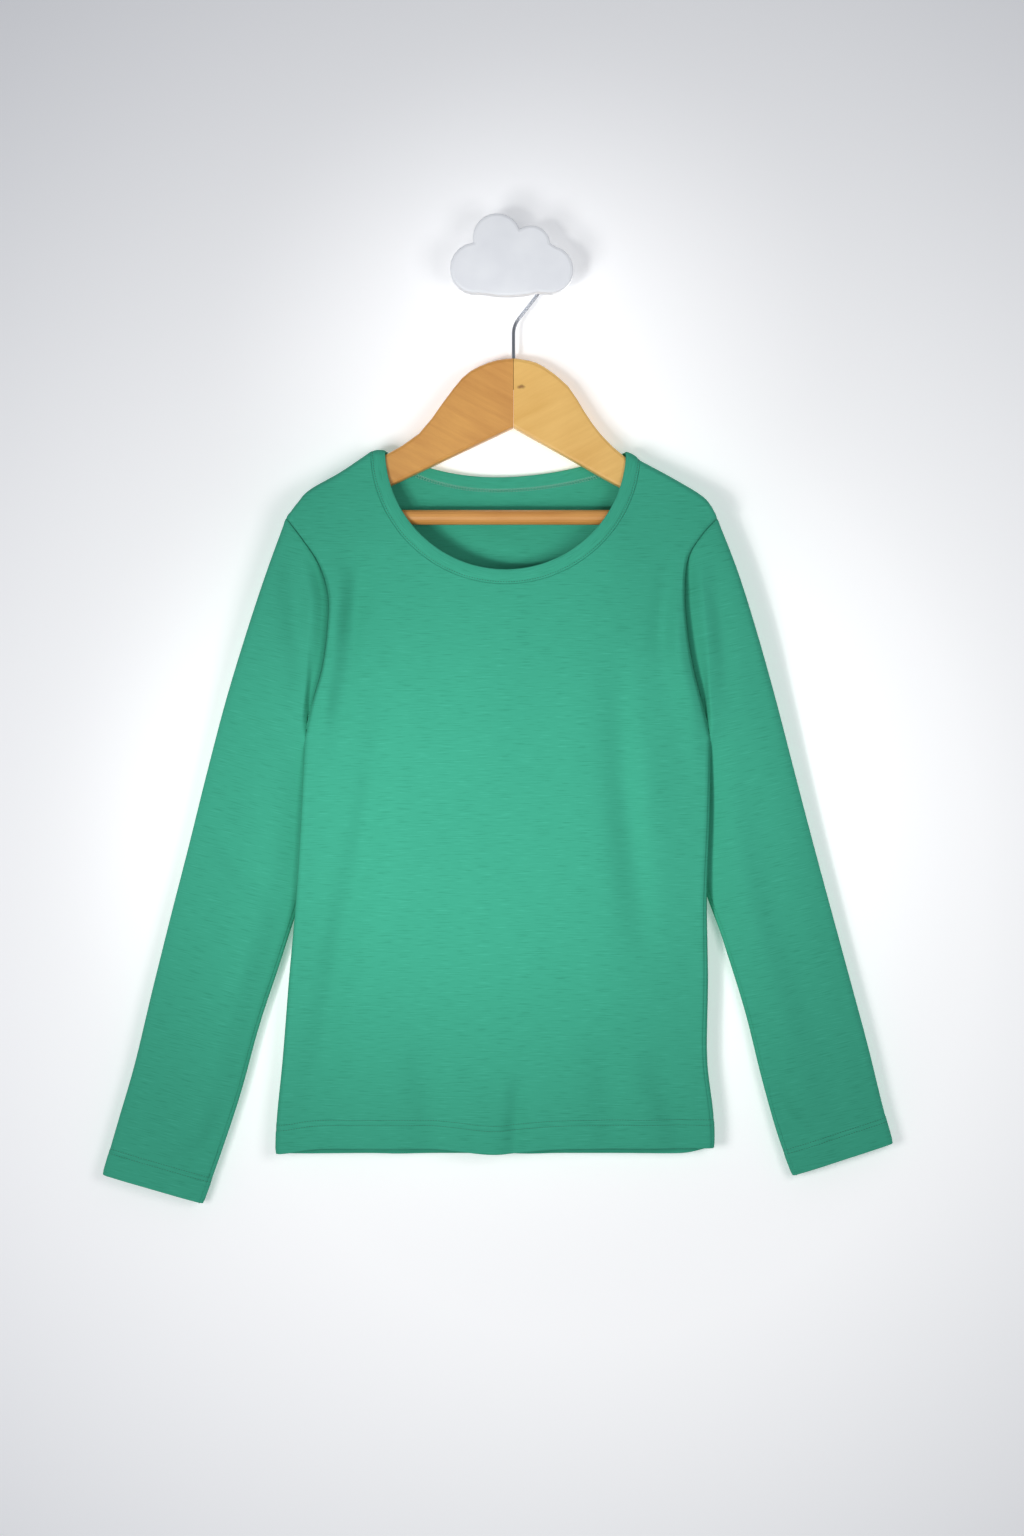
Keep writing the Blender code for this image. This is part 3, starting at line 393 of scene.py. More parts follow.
    def below_crest(self, x: Array, z: Array) -> Array:
        """How far a point lies below the shoulders, or below the line between the neck points."""
        even = np.linspace(0.0, 1.0, self.line_points)
        left = curve(np.array(self.shoulder)[:, self.columns_of(Side.LEFT)], even)
        right = curve(np.array(self.shoulder)[:, self.columns_of(Side.RIGHT)], even[::-1])
        crest = np.concatenate((left, np.array(self.crest) * MM, right))
        return np.clip(np.interp(x, crest[:, 0], crest[:, 1]) - z, 0.0, None)

    def armhole_opening(self, side: Side, v: Array) -> Array:
        """How far the armhole stands open, from 0 where front and back meet to 1 at full depth."""
        line = self.side_line(side, v)
        from_tip = length(line - self.side_line(side, 1.0))
        from_underarm = length(line - self.side_line(side, self.underarm_v))
        share = mix(self.armhole_open[0], self.armhole_open[1], smooth(from_underarm / self.armhole_fade))
        opening = rolled(from_tip / self.tip_opens) * smooth(from_underarm / self.underarm_opens) * share
        return np.where(np.asarray(v) > self.underarm_v, opening, 0.0)

    def armhole_valley(self, side: Side, v: Array) -> Array:
        """Depth of the valley along the armhole's seam, where the body's edge rolls over the sleeve."""
        line = self.side_line(side, v)
        start, end = self.valley_from
        from_tip = (length(line - self.side_line(side, 1.0)) - start) / (end - start)
        from_underarm = length(line - self.side_line(side, self.underarm_v)) / self.underarm_opens
        deep = self.valley * smooth(from_tip) * smooth(from_underarm)
        return np.where(np.asarray(v) > self.underarm_v, deep, 0.0)

    def panel_depth(
        self, face: Face, x: Array, z: Array, sides: Sequence, openings: Sequence, valleys: Sequence = (0.0, 0.0)
    ) -> Array:
        """Depth of a panel's outer surface.

        Args:
            face: Front or back of the shirt.
            x: Places across, in metres.
            z: Heights, in metres.
            sides: Distances in from the two side lines.
            openings: How far the two armholes stand open there.
            valleys: Depth of the valleys along the two armholes there.

        Returns:
            The y of each point.
        """
        below = self.below_crest(x, z)
        rise = (z - self.hem_height) / (self.chest_height - self.hem_height)
        height = np.clip(rise, 0.0, 1.0)
        settled = smooth(below / self.shoulder_fade)
        middle = mix(self.sweep(x), mix(self.body_middle[0], self.body_middle[1], height), settled)
        body_half = mix(self.body_half[0], self.body_half[1], smooth(height))
        half = mix(self.shoulder_half, body_half, settled)
        share = rolled(below / self.shoulder_roll)
        for distance, opening in zip(sides, openings):
            fast = mix(1.0, self.side_half / half, settled)
            slow = (1.0 - fast) * smooth(distance / self.side_fade)
            share = share * mix(fast * rolled(distance / self.side_roll) + slow, 1.0, opening)
        press = np.zeros_like(x)
        for fold in self.folds:
            if face in fold.faces:
                press = press + fold.press(x, z)
        out = 0.5 * self.seam_gap + half * share - press * share
        for distance, valley in zip(sides, valleys):
            out = out - np.minimum(valley, self.valley_share * out) * (1.0 - rolled(distance / self.valley_half[0]))
        return middle + face.value * out

    def fanned(self, u: Array, v: Array) -> Array:
        """Columns for each row: close together beside the neck at the top, and even further down."""
        even = u.copy()
        in_neck = (u >= self.neck_u - TINY) & (u <= 1.0 - self.neck_u + TINY)
        even[in_neck] = np.linspace(self.neck_u, 1.0 - self.neck_u, int(in_neck.sum()))
        near_top = np.clip((v - self.fan_start) / (1.0 - self.fan_start), 0.0, 1.0)
        return mix(even, u, near_top[:, None])

    def panel_points(self, face: Face, u: Array, v: Array) -> Array:
        """Outer points of a panel.

        Args:
            face: Front or back of the shirt.
            u: Columns, from 0 at the left to 1 at the right.
            v: Rows, from 0 at the hem to 1 at the shoulder and neck lines.

        Returns:
            Rows by columns of points.
        """
        v = np.asarray(v, dtype=float)
        u = self.fanned(np.asarray(u, dtype=float), v)
        v = np.broadcast_to(v[:, None], u.shape)
        left, right = (self.side_line(side, v) for side in Side)
        across, up = u[..., None], v[..., None]
        hem_ends = self.hem_line(face, 0.0), self.hem_line(face, 1.0)
        top_ends = self.top_line(face, 0.0), self.top_line(face, 1.0)
        low, high = mix(*hem_ends, across), mix(*top_ends, across)
        near_left = np.clip(1.0 - across / self.side_reach, 0.0, 1.0) ** 2
        near_right = np.clip(1.0 - (1.0 - across) / self.side_reach, 0.0, 1.0) ** 2
        plane = mix(low, high, up)
        plane = plane + (left - mix(hem_ends[0], top_ends[0], up)) * near_left
        plane = plane + (right - mix(hem_ends[1], top_ends[1], up)) * near_right
        plane = plane + (self.top_line(face, u) - high) * up**self.top_hold
        plane = plane + (self.hem_line(face, u) - low) * (1.0 - up)
        from_side = np.minimum(u, 1.0 - u)
        in_shoulder = (from_side / self.neck_u) ** self.shoulder_lean
        beside = np.where(from_side < self.neck_u, in_shoulder, (0.5 - from_side) / (0.5 - self.neck_u))
        under_neck = (1.0 - v) / self.spread_step
        lean = self.neck_spread * beside * under_neck * np.exp(1.0 - under_neck)
        plane[..., 0] += np.sign(u - 0.5) * lean
        sides = (length(plane - left), length(plane - right))
        openings = [self.armhole_opening(side, v) for side in Side]
        valleys = [self.armhole_valley(side, v) for side in Side]
        y = self.panel_depth(face, plane[..., 0], plane[..., 1], sides, openings, valleys)
        return np.stack((plane[..., 0], y, plane[..., 1]), -1)

    def away_from_armhole(self, side: Side, share: Array) -> Array:
        """Directions (x, z) square to the armhole and away from the body, share from tip to underarm."""
        even = np.linspace(0.0, 1.0, self.hole_points)
        line = self.side_line(side, 1.0 - (1.0 - self.underarm_v) * even)
        tangent = unit(np.gradient(line, axis=0))
        square = np.stack((tangent[:, 1], -tangent[:, 0]), -1)
        square *= np.sign(square[self.hole_points // 2, 0]) * side.value
        return unit(np.stack([np.interp(share, even, square[:, axis]) for axis in (0, 1)], -1))

    def sleeve_points(self, side: Side, places: Array, around: Array, faces: Array) -> Array:
        """Outer points of a sleeve.

        Args:
            side: Which sleeve.
            places: Rows from 0 at the armhole to 1 at the cuff.
            around: The panel row v that each column starts from, from the tip to the underarm and back.
            faces: The face of each column, 0 at the two folds.

        Returns:
            Rows by columns of points.
        """
        rows = self.sleeve_left if side is Side.LEFT else self.sleeve_right
        line = self.side_line(side, around)
        share = (1.0 - around) / (1.0 - self.underarm_v)
        away = self.away_from_armhole(side, share)
        column = 0 if side is Side.LEFT else -1
        ends = np.array((0.0, 1.0))
        front = self.panel_points(Face.FRONT, ends, around)[:, column, 1]
        back = self.panel_points(Face.BACK, ends, around)[:, column, 1]
        valley = np.where(faces == 0, 0.0, self.armhole_valley(side, around))
        hole_depth = np.where(faces == 0, 0.5 * (front + back), np.where(faces < 0, front, back))
        tip, underarm = np.array(rows[0][:2]) * MM, np.array(rows[0][2:]) * MM
        grid = []
        for place in places:
            outer_x, outer_z, inner_x, inner_z = curve(rows, place)
            outer_y, inner_y, half = curve(self.sleeve_depth, place)
            outer, inner = np.array((outer_x, outer_z)), np.array((inner_x, inner_z))
            settled = smooth(place / self.sleeve_settles)
            step = place / self.ease_step
            reach = self.seam_gap + self.sleeve_ease * np.sin(np.pi * share) ** 2 * step * math.exp(1.0 - step)
            slide = (outer - tip) * (1.0 - share[:, None]) ** 2 + (inner - underarm) * share[:, None] ** 2
            start = line + slide + away * reach[:, None]
            plane = mix(start, mix(outer, inner, share[:, None]), settled)
            distance = np.minimum(share, 1.0 - share) * length(inner - outer)
            wide = smooth(distance / (self.sleeve_reach * half))
            round_it = mix(wide, rolled(distance / half), self.sleeve_round)
            section = mix(outer_y, inner_y, share) + faces * half * round_it
            from_hole = length(plane - line) / self.valley_half[1]
            y = mix(hole_depth, section, settled)
            y = y + faces * valley * (smooth(from_hole) * (1.0 - settled))
            for fold in self.sleeve_folds:
                for face in fold.faces:
                    on_face = (faces == face.value) * round_it * smooth(place / self.sleeve_folds_from)
                    y = y - face.value * fold.press(plane[:, 0], plane[:, 1]) * on_face
            grid.append(np.stack((plane[:, 0], y, plane[:, 1]), -1))
        return np.array(grid)


def linear(code: str) -> tuple[float, float, float, float]:
    """An sRGB hex value as a linear colour with alpha 1."""
    values = [int(code[index : index + 2], 16) / 255.0 for index in (1, 3, 5)]
    return (*[v / 12.92 if v <= 0.04045 else ((v + 0.055) / 1.055) ** 2.4 for v in values], 1.0)


def add_node(tree: bpy.types.NodeTree, kind: str, settings: dict | None = None, links: dict | None = None):
    """Adds a node.

    Args:
        tree: The node tree.
        kind: The node's type name, without its ShaderNode prefix.
        settings: Properties by name, or values of input sockets by name or number.
        links: Output sockets by the input socket that each feeds.

    Returns:
        The node.
    """
    node = tree.nodes.new("ShaderNode" + kind)
    for name, value in (settings or {}).items():
        if isinstance(name, str) and hasattr(node, name):
            setattr(node, name, value)
        else:
            node.inputs[name].default_value = value
    for name, socket in (links or {}).items():
        tree.links.new(socket, node.inputs[name])
    return node


def new_material(name: str, values: dict) -> tuple:
    """A new material, its node tree and its shader, whose named inputs have the given values."""
    made = bpy.data.materials.new(name)
    made.use_nodes = True
    shader = made.node_tree.nodes["Principled BSDF"]
    for socket, value in values.items():
        shader.inputs[socket].default_value = value
    return made, made.node_tree, shader


def add_noise(tree: bpy.types.NodeTree, place: bpy.types.NodeSocket, scale: float, detail: float, **more: float):
    """Adds a noise and returns its level."""
    return add_node(tree, "TexNoise", {"Scale": scale, "Detail": detail, **more}, {"Vector": place}).outputs["Fac"]


def add_scale(tree: bpy.types.NodeTree, place: bpy.types.NodeSocket, scale: tuple[float, float, float]):
    """Stretches places and returns them."""
    return add_node(tree, "Mapping", {"Scale": scale}, {"Vector": place}).outputs["Vector"]


def add_range(tree: bpy.types.NodeTree, level: bpy.types.NodeSocket, low: float, high: float):
    """Spreads a level from 0 to 1 between two values and returns it."""
    return add_node(tree, "MapRange", {"To Min": low, "To Max": high}, {"Value": level}).outputs["Result"]


def add_ramp(tree: bpy.types.NodeTree, level: bpy.types.NodeSocket, stops: Sequence[tuple[float, str]]):
    """Adds a ramp of (position, hex colour) stops in order over a level, and returns its colour."""
    ramp = add_node(tree, "ValToRGB", {}, {"Fac": level})
    elements = ramp.color_ramp.elements
    for index, (position, colour) in enumerate((stops[0], stops[-1])):
        elements[index].position = position
        elements[index].color = linear(colour)
    for position, colour in stops[1:-1]:
        elements.new(position).color = linear(colour)
    return ramp.outputs["Color"]


def add_bump(
    tree: bpy.types.NodeTree, height: bpy.types.NodeSocket, strength: float, distance: float,
    over: bpy.types.NodeSocket | None = None,
) -> bpy.types.NodeSocket:
    """Adds a bump of a strength and a distance in metres, over another one if given, and returns its normal."""
    links = {"Height": height} if over is None else {"Height": height, "Normal": over}
    return add_node(tree, "Bump", {"Strength": strength, "Distance": distance}, links).outputs["Normal"]


def add_tone(tree: bpy.types.NodeTree, level: bpy.types.NodeSocket, colour: str, low: float, high: float):
    """Lightens and darkens a hex colour by a level, between two factors, and returns it."""
    value = add_range(tree, level, low, high)
    return add_node(tree, "HueSaturation", {"Color": linear(colour)}, {"Value": value}).outputs["Color"]


def place_mesh(name: str, shell: bmesh.types.BMesh) -> bpy.types.Object:
    """Puts a bmesh into the scene as a smooth object, and frees it."""
    mesh = bpy.data.meshes.new(name)
    shell.to_mesh(mesh)
    shell.free()
    mesh.shade_smooth()
    piece = bpy.data.objects.new(name, mesh)
    bpy.context.scene.collection.objects.link(piece)
    return piece


def run_along(points: Array, axis: int) -> Array:
    """Distance of each point of a grid along its rows or columns from the first one."""
    run = np.cumsum(length(np.diff(points, axis=axis)), axis=axis)
    start = np.zeros_like(run[:1] if axis == 0 else run[:, :1])
    return np.concatenate((start, run), axis=axis)


def cloth_mesh(name: str, points: Array, flat: Array, ring: bool, outside: Callable) -> bpy.types.Object:
    """A sheet of cloth from a grid of points.

    Args:
        name: The piece's name.
        points: Rows by columns of points.
        flat: Places (across, along) of the points on the cut cloth, in metres, as the UV map.
        ring: Whether the last column closes on the first.
        outside: Gives which way a face's outside looks from its centre.

    Returns:
        The object, with its mesh at the origin.
    """
    rows, columns = points.shape[:2]
    sheet = bmesh.new()
    bmesh.ops.create_grid(sheet, x_segments=columns - 1, y_segments=rows - 1, size=1.0)
    uv_layer = sheet.loops.layers.uv.new("flat_cloth")
    places = {}
    for vert in sheet.verts:
        i = round((vert.co.x + 1.0) * 0.5 * (columns - 1))
        j = round((vert.co.y + 1.0) * 0.5 * (rows - 1))
        places[vert.index] = (j, i)
    for vert in sheet.verts:
        vert.co = Vector(points[places[vert.index]])
    for face in sheet.faces:
        for loop in face.loops:
            loop[uv_layer].uv = flat[places[loop.vert.index]]
    votes = 0
    for face in list(sheet.faces)[:: max(1, len(sheet.faces) // VOTERS)]:
        face.normal_update()
        votes += 1 if face.normal.dot(outside(face.calc_center_median())) > 0.0 else -1
    if votes < 0:
        bmesh.ops.reverse_faces(sheet, faces=sheet.faces)
    if ring:
        seam = [vert for vert in sheet.verts if places[vert.index][1] in (0, columns - 1)]
        bmesh.ops.remove_doubles(sheet, verts=seam, dist=TINY)
    return place_mesh(name, sheet)


def give_thickness(piece: bpy.types.Object, thickness: float) -> None:
    """Gives a sheet its thickness, on its inner side."""
    wall = piece.modifiers.new("thickness", "SOLIDIFY")
    wall.thickness = thickness
    wall.offset = -1.0
    wall.use_quality_normals = True


def flat_places(points: Array) -> Array:
    """Places of a grid of points on the flat cloth, measured along its rows on average and down its columns."""
    z = run_along(points, 0)
    return np.stack((np.broadcast_to(run_along(points, 1).mean(axis=0), z.shape), z), -1)


def panel_places(points: Array) -> Array:
    """Places of a hanging panel's points on the flat cloth: across and up, since it hangs almost flat."""
    drop = run_along(points, 0)
    folded = np.gradient(points[..., 2], axis=0) > 0.0
    turned = np.maximum.accumulate(folded & (drop > HEM_FROM), axis=0)
    lowest = points[..., 2].min(axis=0)
    z = np.where(turned, 2.0 * lowest - points[..., 2], points[..., 2])
    return np.stack((points[..., 0], z), -1)


def turned_hem(points: Array, normals: Array, deep: float, apart: float) -> Array:
    """Adds the hem that is folded under the last row of a grid.

    Args:
        points: Rows by columns, the last row on the hem's edge.
        normals: Their outward normals.
        deep: Depth of the hem.
        apart: Distance between the outer faces of its two layers.

    Returns:
        The grid with the fold and the inner layer added.
    """
    edge, normal = points[-1], normals[-1]
    down = unit(edge - points[-1 - ROWS_ABOVE])
    rows = []
    for angle in np.radians((45.0, 90.0, 135.0)):
        drop = 0.5 * apart * math.sin(angle)
        rows.append(edge - normal * 0.5 * apart * (1.0 - math.cos(angle)) + down * drop)
    from_edge = length(points - edge).mean(axis=1)
    for index in range(len(points) - 1, -1, -1):
        if from_edge[index] > deep + 0.5 * MM:
            break
        rows.append(points[index] - normals[index] * apart)
    return np.concatenate((points, np.array(rows)))


@dataclass(frozen=True)
class Line:
    """A line on the outer face of a piece of cloth.

    Attributes:
        points: Its points.
        normals: The cloth's outward normals there.
        ring: Whether it closes.
    """

    points: Array
    normals: Array
    ring: bool = False


def line_above_hem(points: Array, normals: Array, height: float, ring: bool) -> Line:
    """The line at an even height above the last row of a grid, which lies on the hem's edge."""
    up = points[::-1]
    climb = run_along(up, 0)

    def at_height(values: Array) -> Array:
        """Values of a grid at the height, for each column."""
        columns = range(values.shape[1])
        return np.array([[np.interp(height, climb[:, c], values[:, c, axis]) for axis in range(3)] for c in columns])

    return Line(at_height(up), unit(at_height(normals[::-1])), ring)


@dataclass(frozen=True)
class StitchRow:
    """A row of sewing thread laid along a line on the cloth.

    Attributes:
        pitch: From one stitch to the next.
        long: Length of the thread that shows in a stitch.
        wide: Thickness of the thread.
        turn: Angle in degrees between a stitch and the row, of either sign in turn.
        shift: How far the row lies to the side of the line.
        segments: Segments round a stitch and along it.
        batch: Stitches added at a time, since few at a time go quicker.
    """

    pitch: float = 2.0 * MM
    long: float = 1.45 * MM
    wide: float = 0.42 * MM
    turn: float = 0.0
    shift: float = 0.0
    segments: tuple[int, int] = (6, 4)
    batch: int = 24

    def sew(self, shell: bmesh.types.BMesh, line: Line) -> int:
        """Adds the row's stitches along a line to a mesh, and returns their number."""
        places = self.stitch_places(line)
        round_it, along = self.segments
        for first in range(0, len(places), self.batch):
            part = bmesh.new()
            for place in places[first : first + self.batch]:
                bmesh.ops.create_uvsphere(part, u_segments=round_it, v_segments=along, radius=0.5, matrix=place)
            mesh = bpy.data.meshes.new("length_of_stitches")
            part.to_mesh(mesh)
            part.free()
            shell.from_mesh(mesh)
            bpy.data.meshes.remove(mesh)
        return len(places)

    def stitch_places(self, line: Line) -> list[Matrix]:
        """Place, direction and size of each stitch along a line."""
        points, normals = line.points, line.normals
        if line.ring:
            points, normals = np.concatenate((points, points[:1])), np.concatenate((normals, normals[:1]))
        run = np.concatenate(([0.0], np.cumsum(length(np.diff(points, axis=0)))))
        count = int(run[-1] / self.pitch)
        at = (np.arange(count) + 0.5) * run[-1] / count
        places = np.stack([np.interp(at, run, points[:, axis]) for axis in range(3)], -1)
        facings = unit(np.stack([np.interp(at, run, normals[:, axis]) for axis in range(3)], -1))
        tangents = unit(np.gradient(places, axis=0))
        size = Matrix.Diagonal((self.long, self.wide, self.wide, 1.0))
        made = []
        for index in range(count):
            facing = Vector(facings[index])
            along = Vector(tangents[index])
            across = facing.cross(along).normalized()
            along = across.cross(facing)
            tilt = math.radians(self.turn) * (1 if index % 2 else -1)
            thread = along * math.cos(tilt) + across * math.sin(tilt)
            side = facing.cross(thread)
            place = Vector(places[index]) + across * self.shift
            turned = Matrix((thread, side, facing)).transposed().to_4x4()
            made.append(Matrix.Translation(place) @ turned @ size)
        return made


@dataclass
class Shirt:
    """The shirt: two panels, two sleeves and the neck band, each a sheet cut and sewn as in the real one.

    Attributes:
        form: The shape in which it hangs.
        cloth: Thickness of the jersey.
        hem_layers: Distance between the outer faces of a hem's two layers.
        hem_deep: Depth of the hems.
        panel_columns: Columns between the side lines.
        panel_rows: Rows between hem and shoulders.
        sleeve_rows: Rows of a sleeve.
        panel_long: Length of a panel on which its rows near the hem are measured.
        sleeve_long: The same for a sleeve.
        hem_rows: Heights of the stitch rows above the hem.
        cuff_rows: Heights of the stitch rows above the cuffs.
        hem_swell: How far a hem swells below its stitches.
        groove: How far a stitch row pulls the cloth in.
        groove_half: Half width of that groove.
        seam_sink: Depth and reach of the dip along an armhole's seam.
        seam_swell: Height, distance from the seam and half width of the swelling beside it.
        turned_half: Half width of a seam that has turned to the front.
        tuck: How far a sleeve's head reaches under the body, at the underarm and away from it.
        tuck_from: Distance from the underarm where the tuck starts to grow, and over which it does.
        tuck_in: How steeply it goes in.
        straight_rows: Rows of a sleeve between which its length runs straight.
        sleeve_from: Where a sleeve's places on the flat cloth start.
        band_insets: Rings of the neck band from its seam to its fold.
        band_row: Place of its stitch row.
        band_crown: How far its middle stands out.
        band_thick: Distance between its two layers' outer faces.
        band_proud: How far it stands proud of the cloth.
        band_groove: Depth and half width of the groove along its stitches.
        band_fold: Angles of the points round its fold, in degrees.
        pieces, lines, stitches: The sheets, the lines sewn along and the stitch rows, by name.
    """

    form: ShirtForm
    cloth: float = 0.6 * MM
    hem_layers: float = 1.5 * MM
    hem_deep: float = 22.5 * MM
    panel_columns: int = 96
    panel_rows: int = 110
    sleeve_rows: int = 120
    panel_long: float = 0.53
    sleeve_long: float = 0.52
    hem_rows: tuple[float, float] = (21.3 * MM, 17.2 * MM)
    cuff_rows: tuple[float, float] = (20.3 * MM, 16.9 * MM)
    hem_swell: float = 0.35 * MM
    groove: float = 0.30 * MM
    groove_half: float = 0.9 * MM
    seam_sink: tuple[float, float] = (0.40 * MM, 1.5 * MM)
    seam_swell: tuple[float, float, float] = (0.25 * MM, 2.8 * MM, 1.8 * MM)
    turned_half: float = 0.75 * MM
    tuck: tuple[float, float] = (0.3 * MM, 2.2 * MM)
    tuck_from: tuple[float, float] = (5.0 * MM, 4.0 * MM)
    tuck_in: float = 0.45
    straight_rows: tuple[int, int] = (5, 80)
    sleeve_from: float = 0.5
    band_insets: tuple[float, ...] = (0.0, 0.05, 0.10, 0.15, 0.20, 0.27, 0.36, 0.5, 0.64, 0.76, 0.86, 0.94, 1.0)
    band_row: float = 0.15
    band_crown: float = 0.75 * MM
    band_thick: float = 2.0 * MM
    band_proud: float = 0.35 * MM
    band_groove: tuple[float, float] = (0.45 * MM, 0.06)
    band_fold: tuple[float, ...] = (60.0, 20.0, -20.0, -60.0)
    pieces: dict[str, bpy.types.Object] = field(default_factory=dict)
    lines: dict[str, Line] = field(default_factory=dict)
    stitches: dict[str, bpy.types.Object] = field(default_factory=dict)

    def columns(self) -> Array:
        """Columns of a panel, close together at its sides and beside the neck."""
        near_side = (0.0012, 0.003, 0.005, 0.007, *np.arange(0.0085, 0.0205, 0.0011), 0.024, 0.029, 0.036)
        near_neck = (0.0008, 0.002, 0.004, 0.007, 0.011, 0.016, 0.022)
        neck = self.form.neck_u
        extra = [*near_side, *(1.0 - value for value in near_side)]
        extra += [neck + value for value in near_neck] + [neck - value for value in near_neck[2:]]
        extra += [1.0 - neck - value for value in near_neck] + [1.0 - neck + value for value in near_neck[2:]]
        extra += [neck, 1.0 - neck]
        return steps(self.panel_columns, 0.0, 1.0, extra)

    def rows(self) -> Array:
        """Rows of a panel from the shoulders down to the hem."""
        near_top = (0.0008, 0.002, 0.003, 0.0039, 0.0048, 0.0057, 0.0066, 0.008, 0.010, 0.014)
        near_hem = (*np.arange(0.5, 15.0, 1.0), *np.arange(15.4, 25.0, 0.45), 26.5, 28.5, 31.0)
        extra = [1.0 - value for value in near_top]
        extra += [value * MM / self.panel_long for value in near_hem]
        extra += [self.form.underarm_v + value for value in (-0.008, -0.003, 0.0, 0.003, 0.008)]
        return steps(self.panel_rows, 0.0, 1.0, extra)[::-1]

    def pull_in(self, points: Array, normals: Array, heights: Sequence[float]) -> Array:
        """Pulls the cloth in at the stitch rows' heights above its last row, and swells the hem between them."""
        climb = run_along(points[::-1], 0)[::-1]
        sunk = sum(np.exp(-(((climb - height) / self.groove_half) ** 2)) for height in heights)
        swell = smooth((heights[0] + 1.5 * MM - climb) / (2.5 * MM)) * smooth(climb / (4.0 * MM))
        return points + normals * (self.hem_swell * swell - self.groove * sunk)[..., None]

    def seam_dip(self, points: Array, normals: Array, from_edge: Array) -> Array:
        """Rolls the cloth in along a seam, by each point's distance from it."""
        deep, reach = self.seam_sink
        high, place, half = self.seam_swell
        dip = deep * (1.0 - rolled(from_edge / reach))
        swell = high * np.exp(-(((from_edge - place) / half) ** 2))
        return points + normals * (swell - dip)[..., None]

    def make_panel(self, name: str, face: Face) -> bpy.types.Object:
        """Cuts and hangs the front or back panel under the given name."""
        u, v = self.columns(), self.rows()
        points = self.form.panel_points(face, u, v)
        normals = grid_normals(points, ring=False)
        normals *= np.sign(normals[len(v) // 2, len(u) // 2, 1]) * face.value
        plane = points[..., [0, 2]]
        from_sides = [length(plane - self.form.side_line(side, v)[:, None]) for side in Side]
        from_hole = np.where((v > self.form.underarm_v)[:, None], np.minimum(*from_sides), 1.0)
        points = self.seam_dip(points, normals, from_hole)
        points = self.pull_in(points, normals, self.hem_rows)
        if face is Face.FRONT:
            points = self.turned_seams(points, normals, u, v)
        for number, height in enumerate(self.hem_rows):
            self.lines[f"{name}_{number}"] = line_above_hem(points[:, 1:-1], normals[:, 1:-1], height, ring=False)
        grid = turned_hem(points, normals, self.hem_deep, self.hem_layers)
        facing = Vector((0.0, float(face.value), 0.0))
        return self.keep(cloth_mesh(name, grid, panel_places(grid), ring=False, outside=lambda centre: facing))

    def keep(self, piece: bpy.types.Object) -> bpy.types.Object:
        """Gives a sheet its thickness and keeps it as a piece of the shirt."""
        give_thickness(piece, self.cloth)
        self.pieces[piece.name] = piece
        return piece

    def turned_seams(self, points: Array, normals: Array, u: Array, v: Array) -> Array:
        """Presses in the front's right side seam and right shoulder seam, which have turned to the front."""
        from_side = run_along(points[:, ::-1], 1)[:, ::-1]
        # The side seam lies 4.6 mm in and wanders by 1 mm, the shoulder seam 2.6 mm down.
        seam = 4.6 * MM + 1.0 * MM * np.sin(9.0 * v)[:, None]
        in_side = smooth((self.form.underarm_v + 0.01 - v) / 0.03)[:, None]
        side = in_side * np.exp(-(((from_side - seam) / self.turned_half) ** 2))
        from_top = run_along(points, 0)
        in_shoulder = smooth((u - 1.0 + self.form.neck_u) / 0.02)
        shoulder = in_shoulder * np.exp(-(((from_top - 2.6 * MM) / (0.7 * MM)) ** 2))
        return points - normals * (0.5 * MM * side + 0.45 * MM * shoulder)[..., None]

    def sleeve_ring(self) -> tuple[Array, Array]:
        """Positions round a sleeve as panel rows, and the face of each, 0 at its two folds."""
        extra = [1.0 - value for value in (0.001, 0.0025, 0.005, 0.009, 0.014, 0.02, 0.03)]
        extra += [self.form.underarm_v + value for value in (0.001, 0.0025, 0.005, 0.0075)]
        extra += [self.form.underarm_v + value for value in np.arange(0.0095, 0.031, 0.0018)]
        down = steps(34, self.form.underarm_v, 1.0, extra)[::-1]
        around = np.concatenate((down, down[-2:0:-1], down[:1]))
        faces = np.full(len(around), 1.0)
        faces[: len(down)] = -1.0
        faces[0] = faces[len(down) - 1] = faces[-1] = 0.0
        return around, faces

    def make_sleeve(self, name: str, side: Side) -> bpy.types.Object:
        """Cuts and hangs a sleeve.

        Args:
            name: The piece's name.
            side: Which sleeve.

        Returns:
            The piece.
        """
        around, faces = self.sleeve_ring()
        near_top = (0.0015, 0.004, 0.008, 0.013, 0.019)
        near_cuff = (*np.arange(0.5, 15.0, 1.0), *np.arange(15.4, 23.0, 0.45), 24.5, 26.5, 29.0)
        near_cuff = tuple(1.0 - value * MM / self.sleeve_long for value in near_cuff)
        places = steps(self.sleeve_rows, 0.0, 1.0, near_top + near_cuff)
        points = self.form.sleeve_points(side, places, around, faces)
        normals = grid_normals(points[:, :-1], ring=True)
        normals = np.concatenate((normals, normals[:, :1]), axis=1)
        centre = points.mean(axis=1, keepdims=True)
        normals *= np.sign(np.sum(normals * (points - centre)))
        from_hole = length(points - points[0])
        points = self.seam_dip(points, normals, from_hole)
        points = self.pull_in(points, normals, self.cuff_rows)
        points = self.under_seam(points, normals, faces)
        points = np.concatenate((self.tucked_row(points, normals)[None], points))
        normals = np.concatenate((normals[:1], normals))
        for number, height in enumerate(self.cuff_rows):
            self.lines[f"{name}_{number}"] = line_above_hem(points[:, :-1], normals[:, :-1], height, ring=True)
        grid = turned_hem(points, normals, self.hem_deep, self.hem_layers)
        middle = {round(float(p[2]) * 100): p for p in centre[:, 0]}

